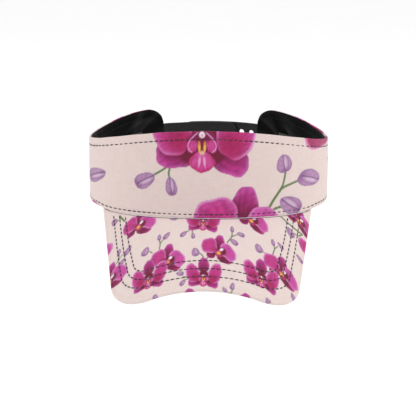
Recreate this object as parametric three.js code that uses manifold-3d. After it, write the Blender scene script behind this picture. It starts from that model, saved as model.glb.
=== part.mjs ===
// Sun visor: a sewn half-height crown band, a stitched curved brim and a two-part plastic snap
// strap across the open back.  Millimetres, +Z up, -Y to the front, +X to the wearer's left.
// The origin is the centre of the head opening, level with the hem where the brim leaves it.
import * as THREE from 'three';
import { mergeVertices } from 'three/addons/utils/BufferGeometryUtils.js';
import Module from 'manifold-3d';

// ---- Driving dimensions -------------------------------------------------------------------

// Band: an ellipse in plan, walked from the front centre
const bandHalfWidth = 93.2;       // outer face, temple to temple
const bandHalfDepth = 98;         // outer face, forehead to back
const backOpening = 84;           // gap between the band's two ends, along the ellipse
const frontTopHeight = 71.3;      // top edge at the front centre
const sideTopHeight = 41;         // top edge over the ears
const wingRise = 3;               // how far the top edge climbs again towards the back
const riseSpanAngle = 110;        // plan angle over which the front height dies away, degrees
const frontHemLift = 7.4;         // how far the hem arches up at the front centre
const frontLean = 5;              // how far the front panel's top leans back
const templeDip = 4;              // how far the hem sinks over the temples, past the brim
const templeDipRun = 25;          // plan angle over which it sinks, degrees
const templeDipEnd = 95;          // plan angle where it starts to climb again, degrees
const templeClimbRun = 45;        // plan angle over which it climbs, degrees
const wingCornerLength = 16;      // length of the rounded corners at the band's ends

// Band layers, outside in
const layerGap = 0.3;             // clearance left between touching layers
const coverThickness = 0.6;       // printed cloth
const interfacingThickness = 1.2;
const liningThickness = 0.5;
const hemDepth = 6;               // cloth turned in along the top edge and the hem
const foldDepth = 1.3;            // thickness of the cloth at a fold, two layers pressed
const sweatbandThickness = 1.5;
const sweatbandHeight = 26;
const sweatbandHemGap = 0.9;      // sweatband's lower edge above the hem
const sweatbandEndMargin = 24;    // from the band's end to the sweatband's end

// Brim
const brimReach = 50;             // plan distance from the band to the brim's front edge
const brimTilt = 35;              // forward slope, degrees
const brimAttachAngle = 57.5;     // plan angle where the brim leaves the band, degrees
const brimTuckAngle = 3;          // the sewn edge stops this far short of the attach angle
const brimSideTaper = 9;          // how far each side closes in towards the front, degrees
const brimCornerLength = 26;      // corner rounding along the side
const brimCornerWidth = 27;       // corner rounding along the front
const brimFrontBow = 0.8;         // the front edge's bulge over its straight run
const boardThickness = 1.6;
const brimClothThickness = 0.6;
const boardEndMargin = 1.5;       // board's ends short of the cloth's ends, plan degrees

// Snap strap
const strapHeight = 16;
const strapThickness = 1.2;
const strapCentreHeight = 22;
const strapRimWidth = 1.2;        // raised edge along both sides of the strap
const strapRimHeight = 0.3;
const strapEndCorner = 6;
const strapTuck = 12;             // length sewn in between cover and lining
const hingeSetback = 1.4;         // flex line's distance from the band's end
const snapPitch = 8.8;
const snapCount = 7;
const firstHoleSetback = 5.8;     // first hole's distance from the band's end
const freeHoles = 2;              // holes left open at this head size
const tipClearance = 1.2;         // hole strap's tip to the next peg along
const firstPegMargin = 4.5;       // first peg to the peg strap's tip
const pegRadius = 1.6;
const snapClearance = 0.6;        // radial room between peg and hole
const pegProud = 0.3;             // peg's top beyond the outer strap's face
const strapStepLength = 16;       // length over which the peg strap steps to the inner side

// Stitching
const threadWidth = 0.6;
const threadThickness = 0.4;
const topRowInset = 6;            // row below the top edge
const hemRowInset = 3;            // row above the hem
const rowEndMargin = 14;          // rows stop this far from the band's ends
const brimRowCount = 3;
const brimFirstRowFront = 9;      // plan distance from the edge to the outer row, at the front
const brimFirstRowSide = 7;       // and at the sides
const brimRowPitchFront = 5.6;
const brimRowPitchSide = 4;
const brimRowBandGap = 1.2;       // brim rows stop this far from the band
const tackSetback = 5;            // strap tack from the band's end

// Sampling
const bandStations = 24;          // per side
const threadStations = 20;        // per side
const cornerSteps = 5;
const brimStations = 16;          // per side
const brimRowsDeep = 4;

// ---- Plan curve ----------------------------------------------------------------------------

const deg = Math.PI / 180;
const ellipseSteps = 2000;

// Length along the ellipse from the front centre to each of many even plan angles up to the back
const walkedLengths = (() => {
  const lengths = [0];
  const step = Math.PI / ellipseSteps;
  for (let i = 0; i < ellipseSteps; i++) {
    const mid = (i + 0.5) * step;
    const speed = Math.hypot(bandHalfWidth * Math.cos(mid), bandHalfDepth * Math.sin(mid));
    lengths.push(lengths[i] + speed * step);
  }
  return lengths;
})();
const halfLength = walkedLengths[ellipseSteps];

// Plan angle at a signed length from the front centre; past the back centre it keeps turning
function angleAt(length) {
  const sign = Math.sign(length);
  const along = Math.abs(length);
  if (along > halfLength) {
    return sign * (2 * Math.PI - angleAt(2 * halfLength - along));
  }
  let low = 0;
  let high = ellipseSteps;
  while (high - low > 1) {
    const middle = (low + high) >> 1;
    if (walkedLengths[middle] > along) {
      high = middle;
    } else {
      low = middle;
    }
  }
  const part = (along - walkedLengths[low]) / (walkedLengths[high] - walkedLengths[low]);
  return sign * (low + part) * Math.PI / ellipseSteps;
}

// Outward direction of the ellipse at a plan angle
function outwardAt(angle) {
  const x = bandHalfDepth * Math.sin(angle);
  const y = -bandHalfWidth * Math.cos(angle);
  return new THREE.Vector3(x, y, 0).normalize();
}

// Point at a plan angle, moved inwards from the band's outer face, at a height
function planPoint(angle, inset, z) {
  const base = new THREE.Vector3(bandHalfWidth * Math.sin(angle), -bandHalfDepth * Math.cos(angle), z);
  return base.addScaledVector(outwardAt(angle), -inset);
}

function smooth(value) {
  const t = Math.min(1, Math.max(0, value));
  return t * t * (3 - 2 * t);
}

// ---- Brim surface --------------------------------------------------------------------------

const attachAngle = brimAttachAngle * deg;
const attachPoint = planPoint(attachAngle, 0, 0);
const slope = Math.tan(brimTilt * deg);
// The brim is a sheet bent to one radius and tilted; the radius brings its ends down to the hem
const attachDrop = frontHemLift + slope * (bandHalfDepth + attachPoint.y);
const brimRadius = (attachDrop ** 2 + attachPoint.x ** 2) / (2 * attachDrop);

function brimHeight(x, y) {
  const sag = brimRadius - Math.sqrt(brimRadius ** 2 - x ** 2);
  return frontHemLift - sag + slope * (bandHalfDepth + y);
}

function brimNormal(x) {
  const acrossSlope = -x / Math.sqrt(brimRadius ** 2 - x ** 2);
  return new THREE.Vector3(-acrossSlope, -slope, 1).normalize();
}

// Point on the brim at a plan place, sunk below its top surface
function brimPoint(plan, depth) {
  const point = new THREE.Vector3(plan.x, plan.y, brimHeight(plan.x, plan.y));
  return point.addScaledVector(brimNormal(plan.x), -depth);
}

// Half of the brim's outline: straight side, rounded corner, nearly straight front
const brimOutline = (() => {
  const start = planPoint(attachAngle, -layerGap, 0);
  const frontY = -(bandHalfDepth + brimReach);
  const taper = brimSideTaper * deg;
  const side = new THREE.Vector2(-Math.sin(taper), -Math.cos(taper));
  const sideLength = (start.y - frontY) / Math.cos(taper);
  const from = new THREE.Vector2(start.x, start.y);
  const corner = from.clone().addScaledVector(side, sideLength);
  const sideEnd = corner.clone().addScaledVector(side, -brimCornerLength);
  const frontStart = new THREE.Vector2(corner.x - brimCornerWidth, frontY + brimFrontBow);
  const frontKnee = new THREE.Vector2(frontStart.x / 2, frontY);
  const cornerPull = 0.56;
  const curve = new THREE.CurvePath();
  curve.add(new THREE.LineCurve(from, sideEnd));
  curve.add(new THREE.CubicBezierCurve(
    sideEnd,
    sideEnd.clone().lerp(corner, cornerPull),
    frontStart.clone().lerp(corner, cornerPull),
    frontStart,
  ));
  curve.add(new THREE.QuadraticBezierCurve(frontStart, frontKnee, new THREE.Vector2(0, frontY)));
  return curve;
})();

// Outline point for -1 (one end) to 1 (other end), moved inwards in plan
function outlinePoint(across, inset) {
  const along = 1 - Math.abs(across);
  const point = brimOutline.getPointAt(along);
  const tangent = brimOutline.getTangentAt(along);
  const mirror = across < 0 ? -1 : 1;
  return new THREE.Vector2((point.x + tangent.y * inset) * mirror, point.y - tangent.x * inset);
}

// ---- Band edges ----------------------------------------------------------------------------

const bandEnd = halfLength - backOpening / 2;
const strapLow = strapCentreHeight - strapHeight / 2;
const strapHigh = strapCentreHeight + strapHeight / 2;
const edgeRoom = foldDepth + layerGap;
const endTop = strapHigh + edgeRoom;
const endHem = strapLow - edgeRoom;

// Share of the front's extra height left at a length along the band
function frontShare(length) {
  const part = Math.min(1, Math.abs(angleAt(length)) / (riseSpanAngle * deg));
  return 0.5 + 0.5 * Math.cos(Math.PI * part);
}

// How far a rounded corner has closed, 0 before it and 1 at the band's very end
function cornerShare(length) {
  const into = (Math.abs(length) - bandEnd + wingCornerLength) / wingCornerLength;
  const q = Math.min(1, Math.max(0, into));
  return 1 - Math.sqrt(1 - q * q);
}

function topEdge(length) {
  const angle = Math.abs(angleAt(length)) / deg;
  const wingStartAngle = riseSpanAngle;
  const wingEndAngle = angleAt(bandEnd - wingCornerLength) / deg;
  const wing = smooth((angle - wingStartAngle) / (wingEndAngle - wingStartAngle));
  const open = sideTopHeight + (frontTopHeight - sideTopHeight) * frontShare(length) + wingRise * wing;
  return open + (endTop - open) * cornerShare(length);
}

function hemEdge(length) {
  const angle = angleAt(length);
  const face = planPoint(angle, 0, 0);
  const turn = Math.abs(angle) / deg;
  const sunk = smooth((turn - brimAttachAngle) / templeDipRun);
  const climbed = smooth((turn - templeDipEnd) / templeClimbRun);
  const arched = Math.abs(angle) < attachAngle ? brimHeight(face.x, face.y) : -templeDip * sunk * (1 - climbed);
  return arched + (endHem - arched) * cornerShare(length);
}

// Point in the band's own terms: length along it, distance in from its outer face, height
function bandPoint(length, inset, z) {
  const hem = hemEdge(length);
  const up = Math.min(1, Math.max(0, (z - hem) / (topEdge(length) - hem)));
  const lean = frontLean * frontShare(length) * up;
  return planPoint(angleAt(length), inset + lean, z);
}

// Places along the band, closer together around the rounded corners
function bandLengths(end, count, corner) {
  const straight = end - corner;
  const half = [];
  for (let i = 1; i <= count; i++) {
    half.push(straight * i / count);
  }
  if (corner > 0) {
    for (let i = 1; i <= cornerSteps; i++) {
      half.push(straight + corner * Math.sin(Math.PI / 2 * i / cornerSteps));
    }
  }
  return [...half.map((value) => -value).reverse(), 0, ...half];
}

// ---- Solids --------------------------------------------------------------------------------

// Makes a geometry's faces point outwards
function facingOut(positions, indices) {
  const corner = (i) => new THREE.Vector3().fromArray(positions, indices[i] * 3);
  let volume = 0;
  for (let i = 0; i < indices.length; i += 3) {
    volume += corner(i).dot(corner(i + 1).cross(corner(i + 2)));
  }
  if (volume < 0) {
    for (let i = 0; i < indices.length; i += 3) {
      [indices[i + 1], indices[i + 2]] = [indices[i + 2], indices[i + 1]];
    }
  }
  const geometry = new THREE.BufferGeometry();
  geometry.setAttribute('position', new THREE.Float32BufferAttribute(positions, 3));
  geometry.setIndex(indices);
  geometry.computeVertexNormals();
  return geometry;
}

// Solid swept through a list of sections; each section holds flat outline points and their places
function loft(sections) {
  const ring = sections[0].places.length;
  const positions = sections.flatMap((section) => section.places.flatMap((place) => place.toArray()));
  const indices = [];
  for (let i = 0; i + 1 < sections.length; i++) {
    for (let j = 0; j < ring; j++) {
      const next = (j + 1) % ring;
      const a = i * ring + j;
      const b = i * ring + next;
      indices.push(a, b, a + ring, b, b + ring, a + ring);
    }
  }
  const last = (sections.length - 1) * ring;
  for (const [section, offset, flip] of [[sections[0], 0, true], [sections.at(-1), last, false]]) {
    const turns = THREE.ShapeUtils.isClockWise(section.flat);
    for (const [a, b, c] of THREE.ShapeUtils.triangulateShape(section.flat, [])) {
      const face = [a + offset, b + offset, c + offset];
      indices.push(...(flip === turns ? face : face.reverse()));
    }
  }
  return facingOut(positions, indices);
}

// Solid that runs along the band; outline gives [inset, height] points at each length
function bandSolid(lengths, outline) {
  return loft(lengths.map((length) => {
    const flat = outline(length).map(([inset, z]) => new THREE.Vector2(inset, z));
    return { flat, places: flat.map((point) => bandPoint(length, point.x, point.y)) };
  }));
}

// Flat thread laid along a path of { place, normal } stations, raised off the surface
function threadSolid(path, lift) {
  const half = threadWidth / 2;
  const outline = [[-half, lift], [half, lift], [half, lift + threadThickness], [-half, lift + threadThickness]];
  const flat = outline.map(([x, y]) => new THREE.Vector2(x, y));
  return loft(path.map(({ place, normal }, i) => {
    const before = path[Math.max(0, i - 1)].place;
    const after = path[Math.min(path.length - 1, i + 1)].place;
    const tangent = after.clone().sub(before).normalize();
    const aside = tangent.clone().cross(normal).normalize();
    const places = outline.map(([x, y]) => (
      place.clone().addScaledVector(aside, x).addScaledVector(normal, y)
    ));
    return { flat, places };
  }));
}

const manifold = await Module();
manifold.setup();

function toManifold(geometry) {
  return new manifold.Manifold(new manifold.Mesh({
    numProp: 3,
    vertProperties: geometry.attributes.position.array,
    triVerts: new Uint32Array(geometry.index.array),
  }));
}

function fromManifold(solid) {
  const mesh = solid.getMesh();
  const geometry = new THREE.BufferGeometry();
  geometry.setAttribute('position', new THREE.BufferAttribute(mesh.vertProperties, 3));
  geometry.setIndex(new THREE.BufferAttribute(mesh.triVerts, 1));
  geometry.computeVertexNormals();
  return geometry;
}

// ---- Band layers ---------------------------------------------------------------------------

// Insets of each layer's outer and inner face from the band's outer face
const interfacingFace = coverThickness + layerGap;
const turnInFace = interfacingFace + interfacingThickness + layerGap;
const turnInBack = turnInFace + coverThickness;
const liningFace = turnInBack + layerGap;
const liningBack = liningFace + liningThickness;
const sweatbandFace = liningBack + layerGap;
const sweatbandBack = sweatbandFace + sweatbandThickness;

// Cloth folded over the top edge and under the hem, with a turn-in inside both
function coverOutline(length) {
  const top = topEdge(length);
  const hem = hemEdge(length);
  const bend = turnInBack / 2;
  const shoulder = bend * 0.5;
  const crest = bend * 0.13;
  return [
    [0, hem + bend],
    [0, top - bend],
    [shoulder, top - crest],
    [turnInBack - shoulder, top - crest],
    [turnInBack, top - bend],
    [turnInBack, top - hemDepth],
    [turnInFace, top - hemDepth],
    [turnInFace, top - foldDepth],
    [coverThickness, top - foldDepth],
    [coverThickness, hem + foldDepth],
    [turnInFace, hem + foldDepth],
    [turnInFace, hem + hemDepth],
    [turnInBack, hem + hemDepth],
    [turnInBack, hem + bend],
    [turnInBack - shoulder, hem + crest],
    [shoulder, hem + crest],
  ];
}

function slabOutline(face, back, low, high) {
  return (length) => [
    [face, low(length)],
    [face, high(length)],
    [back, high(length)],
    [back, low(length)],
  ];
}

const interfacingEnd = bandEnd - Math.max(strapTuck, wingCornerLength) - 2 * layerGap;
const sweatbandEnd = bandEnd - sweatbandEndMargin;
const liningTrim = 0.6;

const bandCover = bandSolid(bandLengths(bandEnd, bandStations, wingCornerLength), coverOutline);
const bandInterfacing = bandSolid(
  bandLengths(interfacingEnd, bandStations, 0),
  slabOutline(
    interfacingFace,
    interfacingFace + interfacingThickness,
    (length) => hemEdge(length) + edgeRoom,
    (length) => topEdge(length) - edgeRoom,
  ),
);
const bandLining = bandSolid(
  bandLengths(bandEnd - layerGap, bandStations, wingCornerLength - layerGap),
  slabOutline(
    liningFace,
    liningBack,
    (length) => hemEdge(length) + liningTrim,
    (length) => topEdge(length) - liningTrim,
  ),
);
const sweatband = bandSolid(bandLengths(sweatbandEnd, bandStations, 0), (length) => {
  const low = hemEdge(length) + sweatbandHemGap;
  const high = low + sweatbandHeight;
  const round = sweatbandThickness / 3;
  return [
    [sweatbandFace, low],
    [sweatbandFace, high],
    [sweatbandBack - round, high],
    [sweatbandBack, high - round],
    [sweatbandBack, low + round],
    [sweatbandBack - round, low],
  ];
});

// ---- Brim layers ---------------------------------------------------------------------------

const brimDepth = 2 * brimClothThickness + boardThickness + 2 * layerGap;
const boardTop = brimClothThickness + layerGap;
const underTop = boardTop + boardThickness + layerGap;
const edgeRoll = 0.5;

// Plan place between the sewn edge (0) and the outline less an inset (1)
function brimPlace(across, deep, inset, endAngle) {
  const angle = across * endAngle;
  const sewn = planPoint(Math.abs(angle), -layerGap, 0);
  const sewnX = across < 0 ? -sewn.x : sewn.x;
  const edge = outlinePoint(across, inset);
  return new THREE.Vector2(sewnX, sewn.y).lerp(edge, deep);
}

// Solid across the brim; steps lists [deep, inset, depth] around each section
function brimSolid(steps, endAngle) {
  const sections = [];
  for (let i = -brimStations; i <= brimStations; i++) {
    const across = i / brimStations;
    const plans = steps.map(([deep, inset]) => brimPlace(across, deep, inset, endAngle));
    const origin = plans[0];
    const run = plans.map((plan) => plan.distanceTo(origin));
    sections.push({
      flat: steps.map(([, , depth], k) => new THREE.Vector2(run[k], -depth)),
      places: plans.map((plan, k) => brimPoint(plan, steps[k][2])),
    });
  }
  return loft(sections);
}

// Even steps from the sewn edge to the outline at one depth
function brimRun(inset, depth) {
  const run = [];
  for (let i = 0; i <= brimRowsDeep; i++) {
    run.push([i / brimRowsDeep, inset, depth]);
  }
  return run;
}

const sewnEndAngle = (brimAttachAngle - brimTuckAngle) * deg;
const boardEndAngle = sewnEndAngle - boardEndMargin * deg;
const edgeInset = brimClothThickness + layerGap;

// Top cloth rolls over the board's edge and down to the underside
const brimTopCover = brimSolid([
  ...brimRun(edgeRoll, 0),
  [1, 0, edgeRoll],
  [1, 0, brimDepth],
  [1, brimClothThickness, brimDepth],
  ...brimRun(brimClothThickness, brimClothThickness).reverse(),
], sewnEndAngle);
const brimBoard = brimSolid([
  ...brimRun(edgeInset, boardTop),
  ...brimRun(edgeInset, boardTop + boardThickness).reverse(),
], boardEndAngle);
const brimUnderCover = brimSolid([
  ...brimRun(edgeInset, underTop),
  ...brimRun(edgeInset, brimDepth).reverse(),
], sewnEndAngle);

// ---- Snap strap ----------------------------------------------------------------------------

// Straps are placed by their distance from the back centre, positive towards +X
const hingePlace = backOpening / 2 - hingeSetback;
const outerFace = interfacingFace;
const outerBack = outerFace + strapThickness;
const innerFace = outerBack + layerGap + strapRimHeight;
const innerStep = innerFace - outerFace;
const firstHole = backOpening / 2 - firstHoleSetback;
const firstPeg = firstHole - freeHoles * snapPitch;
const lastHoleMargin = snapPitch - pegRadius - tipClearance;
const holeStrapTip = firstHole - (snapCount - 1) * snapPitch - lastHoleMargin;
const pegStrapTip = firstPeg + firstPegMargin;

function backPoint(place, inset, z) {
  return planPoint(angleAt(halfLength - place), inset, z);
}

// Section of a strap with a raised rim along both edges of its outer side
function strapOutline(face, halfHeight) {
  const rim = face - strapRimHeight;
  const back = face + strapThickness;
  const low = strapCentreHeight - halfHeight;
  const high = strapCentreHeight + halfHeight;
  return [
    [rim, low],
    [rim, low + strapRimWidth],
    [face, low + strapRimWidth],
    [face, high - strapRimWidth],
    [rim, high - strapRimWidth],
    [rim, high],
    [back, high],
    [back, low],
  ];
}

// Strap from its root to its rounded tip; faceAt gives its outer face's inset at each place
function strapSolid(root, tip, steps, faceAt) {
  const towards = Math.sign(tip - root);
  const straightEnd = tip - towards * strapEndCorner;
  const stations = [];
  for (let i = 0; i <= steps; i++) {
    stations.push([root + (straightEnd - root) * i / steps, strapHeight / 2]);
  }
  for (let i = 1; i <= cornerSteps; i++) {
    const turn = Math.PI / 2 * i / cornerSteps;
    const closed = strapEndCorner * (1 - Math.cos(turn));
    stations.push([straightEnd + towards * strapEndCorner * Math.sin(turn), strapHeight / 2 - closed]);
  }
  return loft(stations.map(([place, halfHeight]) => {
    const outline = strapOutline(faceAt(place), halfHeight);
    const flat = outline.map(([inset, z]) => new THREE.Vector2(inset, z));
    return { flat, places: outline.map(([inset, z]) => backPoint(place, inset, z)) };
  }));
}

// The piece of strap sewn into the band's end, up to the flex line's gap
function tabSolid(side) {
  const start = backOpening / 2;
  const steps = 4;
  const sections = [];
  for (let i = 0; i <= steps; i++) {
    const place = side * (start + strapTuck * i / steps);
    const outline = [
      [outerFace, strapLow],
      [outerFace, strapHigh],
      [outerBack, strapHigh],
      [outerBack, strapLow],
    ];
    const flat = outline.map(([inset, z]) => new THREE.Vector2(inset, z));
    sections.push({ flat, places: outline.map(([inset, z]) => backPoint(place, inset, z)) });
  }
  return loft(sections);
}

// Turns a solid made about +Y so that it points outwards from a place on the strap
function setOnStrap(geometry, place, inset) {
  const outward = outwardAt(angleAt(halfLength - place));
  const turn = new THREE.Quaternion().setFromUnitVectors(new THREE.Vector3(0, 1, 0), outward);
  const at = backPoint(place, inset, strapCentreHeight);
  return geometry.applyMatrix4(new THREE.Matrix4().compose(at, turn, new THREE.Vector3(1, 1, 1)));
}

// Keeps positions only, with shared corners merged, so that the solid can be cut or joined
function welded(geometry) {
  geometry.deleteAttribute('normal');
  geometry.deleteAttribute('uv');
  const merged = mergeVertices(geometry);
  const indices = [];
  for (let i = 0; i < merged.index.count; i += 3) {
    const face = [0, 1, 2].map((k) => merged.index.getX(i + k));
    if (new Set(face).size === 3) {
      indices.push(...face);
    }
  }
  return facingOut([...merged.attributes.position.array], indices);
}

const strapSteps = 14;

function holeStrapSolid() {
  let solid = toManifold(strapSolid(hingePlace, holeStrapTip, strapSteps, () => outerFace));
  for (let i = 0; i < snapCount; i++) {
    const cutter = new THREE.CylinderGeometry(pegRadius + snapClearance, pegRadius + snapClearance, 6, 16);
    const placed = setOnStrap(welded(cutter), firstHole - i * snapPitch, outerFace);
    solid = solid.subtract(toManifold(placed));
  }
  return fromManifold(solid);
}

// Peg strap lies level with the hole strap at its root and steps inside it before their overlap
function pegStrapFace(place) {
  const stepped = smooth((place + hingePlace) / strapStepLength);
  return outerFace + innerStep * stepped;
}

function pegStrapSolid() {
  let solid = toManifold(strapSolid(-hingePlace, pegStrapTip, strapSteps, pegStrapFace));
  const sunk = strapThickness / 2;
  for (let i = 0; i < snapCount; i++) {
    const place = firstPeg - i * snapPitch;
    const face = pegStrapFace(place);
    const height = innerFace - outerFace + pegProud;
    const profile = [
      [0, -sunk],
      [pegRadius, -sunk],
      [pegRadius, height * 0.7],
      [pegRadius * 0.7, height * 0.94],
      [0, height],
    ].map(([r, y]) => new THREE.Vector2(r, y));
    const peg = setOnStrap(welded(new THREE.LatheGeometry(profile, 12)), place, face);
    solid = solid.add(toManifold(peg));
  }
  return fromManifold(solid);
}

// ---- Stitching -----------------------------------------------------------------------------

// Row along the band at a height, on the face at an inset; side 1 is outside, -1 is inside
function bandRow(end, inset, heightAt, side) {
  const path = bandLengths(end, threadStations, 0).map((length) => ({
    place: bandPoint(length, inset, heightAt(length)),
    normal: outwardAt(angleAt(length)).multiplyScalar(side),
  }));
  return threadSolid(path, layerGap);
}

// Row that follows the brim's outline and stops at the band
function brimRow(index, depth, side) {
  const clearOfBand = (point) => {
    const width = bandHalfWidth + brimRowBandGap;
    const length = bandHalfDepth + brimRowBandGap;
    return Math.hypot(point.x / width, point.y / length) > 1;
  };
  const front = brimFirstRowFront + index * brimRowPitchFront;
  const sides = brimFirstRowSide + index * brimRowPitchSide;
  const probes = 400;
  const plans = [];
  for (let i = 0; i <= probes; i++) {
    const across = -1 + 2 * i / probes;
    const inset = front + (sides - front) * smooth(Math.abs(across) * 2 - 0.5);
    const plan = outlinePoint(across, inset);
    if (clearOfBand(plan)) {
      plans.push(plan);
    }
  }
  const row = new THREE.SplineCurve(plans).getSpacedPoints(2 * threadStations);
  const path = row.map((plan) => ({
    place: brimPoint(plan, depth),
    normal: brimNormal(plan.x).multiplyScalar(side),
  }));
  return threadSolid(path, layerGap);
}

// Upright tack that holds a strap in the band's end
function tackRow(side) {
  const length = side * (bandEnd - tackSetback);
  const low = strapLow + threadWidth;
  const high = strapHigh - threadWidth;
  const path = [0, 0.5, 1].map((part) => ({
    place: bandPoint(length, 0, low + (high - low) * part),
    normal: outwardAt(angleAt(length)),
  }));
  return threadSolid(path, layerGap);
}

const rowEnd = bandEnd - rowEndMargin;
const topRow = (length) => topEdge(length) - topRowInset;
const hemRow = (length) => hemEdge(length) + hemRowInset;

// ---- Assembly ------------------------------------------------------------------------------

const finishes = {
  printedCloth: { color: 0xe6d0cb, roughness: 0.85, metalness: 0 },
  blackCloth: { color: 0x141414, roughness: 0.9, metalness: 0 },
  interfacing: { color: 0xd9d6cf, roughness: 0.95, metalness: 0 },
  towelling: { color: 0x1b1b1d, roughness: 1, metalness: 0 },
  board: { color: 0xe4e4e0, roughness: 0.6, metalness: 0 },
  strapPlastic: { color: 0x242424, roughness: 0.45, metalness: 0 },
  thread: { color: 0x3a3638, roughness: 0.8, metalness: 0 },
};

const visor = new THREE.Group();

function addPiece(name, geometry, finish) {
  const mesh = new THREE.Mesh(geometry, new THREE.MeshStandardMaterial(finishes[finish]));
  mesh.name = name;
  visor.add(mesh);
}

addPiece('band_cover', bandCover, 'printedCloth');
addPiece('band_interfacing', bandInterfacing, 'interfacing');
addPiece('band_lining', bandLining, 'blackCloth');
addPiece('sweatband', sweatband, 'towelling');
addPiece('brim_top_cover', brimTopCover, 'printedCloth');
addPiece('brim_board', brimBoard, 'board');
addPiece('brim_under_cover', brimUnderCover, 'printedCloth');
addPiece('hole_strap', holeStrapSolid(), 'strapPlastic');
addPiece('hole_strap_tab', tabSolid(1), 'strapPlastic');
addPiece('peg_strap', pegStrapSolid(), 'strapPlastic');
addPiece('peg_strap_tab', tabSolid(-1), 'strapPlastic');
addPiece('top_row_needle_thread', bandRow(rowEnd, 0, topRow, 1), 'thread');
addPiece('top_row_bobbin_thread', bandRow(rowEnd, liningBack, topRow, -1), 'thread');
addPiece('hem_row_needle_thread', bandRow(rowEnd, 0, hemRow, 1), 'thread');
addPiece('hem_row_bobbin_thread', bandRow(sweatbandEnd - 2, sweatbandBack, hemRow, -1), 'thread');
for (let i = 0; i < brimRowCount; i++) {
  addPiece(`brim_row_${i + 1}_needle_thread`, brimRow(i, 0, 1), 'thread');
  addPiece(`brim_row_${i + 1}_bobbin_thread`, brimRow(i, brimDepth, -1), 'thread');
}
addPiece('hole_strap_tack_thread', tackRow(1), 'thread');
addPiece('peg_strap_tack_thread', tackRow(-1), 'thread');

export default visor;
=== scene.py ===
import math

import bpy
import numpy as np
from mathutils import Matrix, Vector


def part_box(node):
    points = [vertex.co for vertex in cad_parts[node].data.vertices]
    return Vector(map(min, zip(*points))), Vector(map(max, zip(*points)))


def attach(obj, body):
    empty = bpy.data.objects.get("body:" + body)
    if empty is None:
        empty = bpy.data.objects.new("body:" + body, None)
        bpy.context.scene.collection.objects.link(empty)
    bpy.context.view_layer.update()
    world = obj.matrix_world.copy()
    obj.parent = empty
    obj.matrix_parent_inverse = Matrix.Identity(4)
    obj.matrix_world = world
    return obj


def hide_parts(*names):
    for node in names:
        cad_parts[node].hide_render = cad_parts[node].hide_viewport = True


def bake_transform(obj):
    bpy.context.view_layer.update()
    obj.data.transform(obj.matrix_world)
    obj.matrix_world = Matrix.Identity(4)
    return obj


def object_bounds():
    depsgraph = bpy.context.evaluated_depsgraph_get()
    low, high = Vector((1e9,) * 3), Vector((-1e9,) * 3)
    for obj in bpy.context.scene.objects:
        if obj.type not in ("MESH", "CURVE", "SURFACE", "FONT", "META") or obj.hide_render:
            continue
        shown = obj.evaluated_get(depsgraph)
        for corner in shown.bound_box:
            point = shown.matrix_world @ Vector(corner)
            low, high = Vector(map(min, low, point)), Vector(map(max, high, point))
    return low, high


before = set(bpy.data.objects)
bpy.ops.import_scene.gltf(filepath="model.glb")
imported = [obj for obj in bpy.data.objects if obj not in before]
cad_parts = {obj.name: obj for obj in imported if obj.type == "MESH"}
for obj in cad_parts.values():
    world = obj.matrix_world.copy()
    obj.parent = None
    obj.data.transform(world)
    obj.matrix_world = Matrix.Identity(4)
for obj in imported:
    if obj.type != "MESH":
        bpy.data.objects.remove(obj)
cadLow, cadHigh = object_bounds()

# Everything is worked out in millimetres and becomes metres when a mesh is made
metre = 0.001


def corners(node):
    # a CAD piece's lowest and highest corner, in millimetres
    low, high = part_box(node)
    return np.array(low) / metre, np.array(high) / metre


def ease(value):
    # 0 to 1 with a soft start and a soft end
    t = np.clip(value, 0, 1)
    return t * t * (3 - 2 * t)


def hump(distance, width):
    # 1 in the middle, dying away on both sides
    return np.exp(-(distance / width) ** 2)


def grain(u, v, size, seed):
    # soft random light and dark of about one size, -1 to 1: waves summed in random directions
    draw = np.random.default_rng(seed).uniform(size=(7, 3))
    total = 0
    for turn, phase, stretch in draw:
        pull = 2 * math.pi / (size * (0.6 + stretch))
        total = total + np.sin((u * math.cos(6.3 * turn) + v * math.sin(6.3 * turn)) * pull + 6.3 * phase)
    return total / 4


coverLow, coverHigh = corners("band_cover")
brimLow, _ = corners("brim_top_cover")
strapLow, strapHigh = corners("hole_strap")

# The band is an ellipse in plan; lengths run along it from the front centre
band = {
    "halfWidth": round(coverHigh[0], 1),
    "halfDepth": round(-coverLow[1]),
    "frontTop": coverHigh[2],   # top edge at the front centre
    "sideTop": 41,              # top edge over the ears
    "wingRise": 3,              # and how far it climbs again towards the back
    "riseAngle": math.radians(110),
    "lean": 5,                  # how far the front panel's top leans back
    "dip": 4,                   # how far the hem sinks over the temples
    "dipEnd": math.radians(95),
    "climbRun": math.radians(45),
    "backOpening": 84,
    "cornerLength": 16,         # rounded corners at the band's two ends
    "endRoom": 1.6,             # cloth above and below the strap at those ends
    "earPlace": 125,            # where the view from the front stops counting, and over what length
    "earRun": 20,
}
brim = {
    "frontEdge": round(-brimLow[1]),
    "lift": 7.4,                # hem's arch at the front centre
    "tilt": math.radians(35),
    "attachAngle": math.radians(57.5),
    "sewnAngle": math.radians(54.5),
    "dipRun": math.radians(25),
    "taper": math.radians(9),   # how far each side closes in towards the front
    "cornerLength": 26,
    "cornerWidth": 27,
    "cornerPull": 0.56,
    "bow": 0.8,
    "depth": 3.4,               # both cloths and the board
    "seamGap": 0.3,             # the cloth starts this far out from the band's outer face
}

# Length along the ellipse against plan angle, from the front centre to the back centre
planAngles = np.linspace(0, math.pi, 4001)
middles = (planAngles[1:] + planAngles[:-1]) / 2
speeds = np.hypot(band["halfWidth"] * np.cos(middles), band["halfDepth"] * np.sin(middles))
planLengths = np.concatenate([[0], np.cumsum(speeds * planAngles[1])])
halfLength = planLengths[-1]
bandEnd = halfLength - band["backOpening"] / 2


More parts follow.
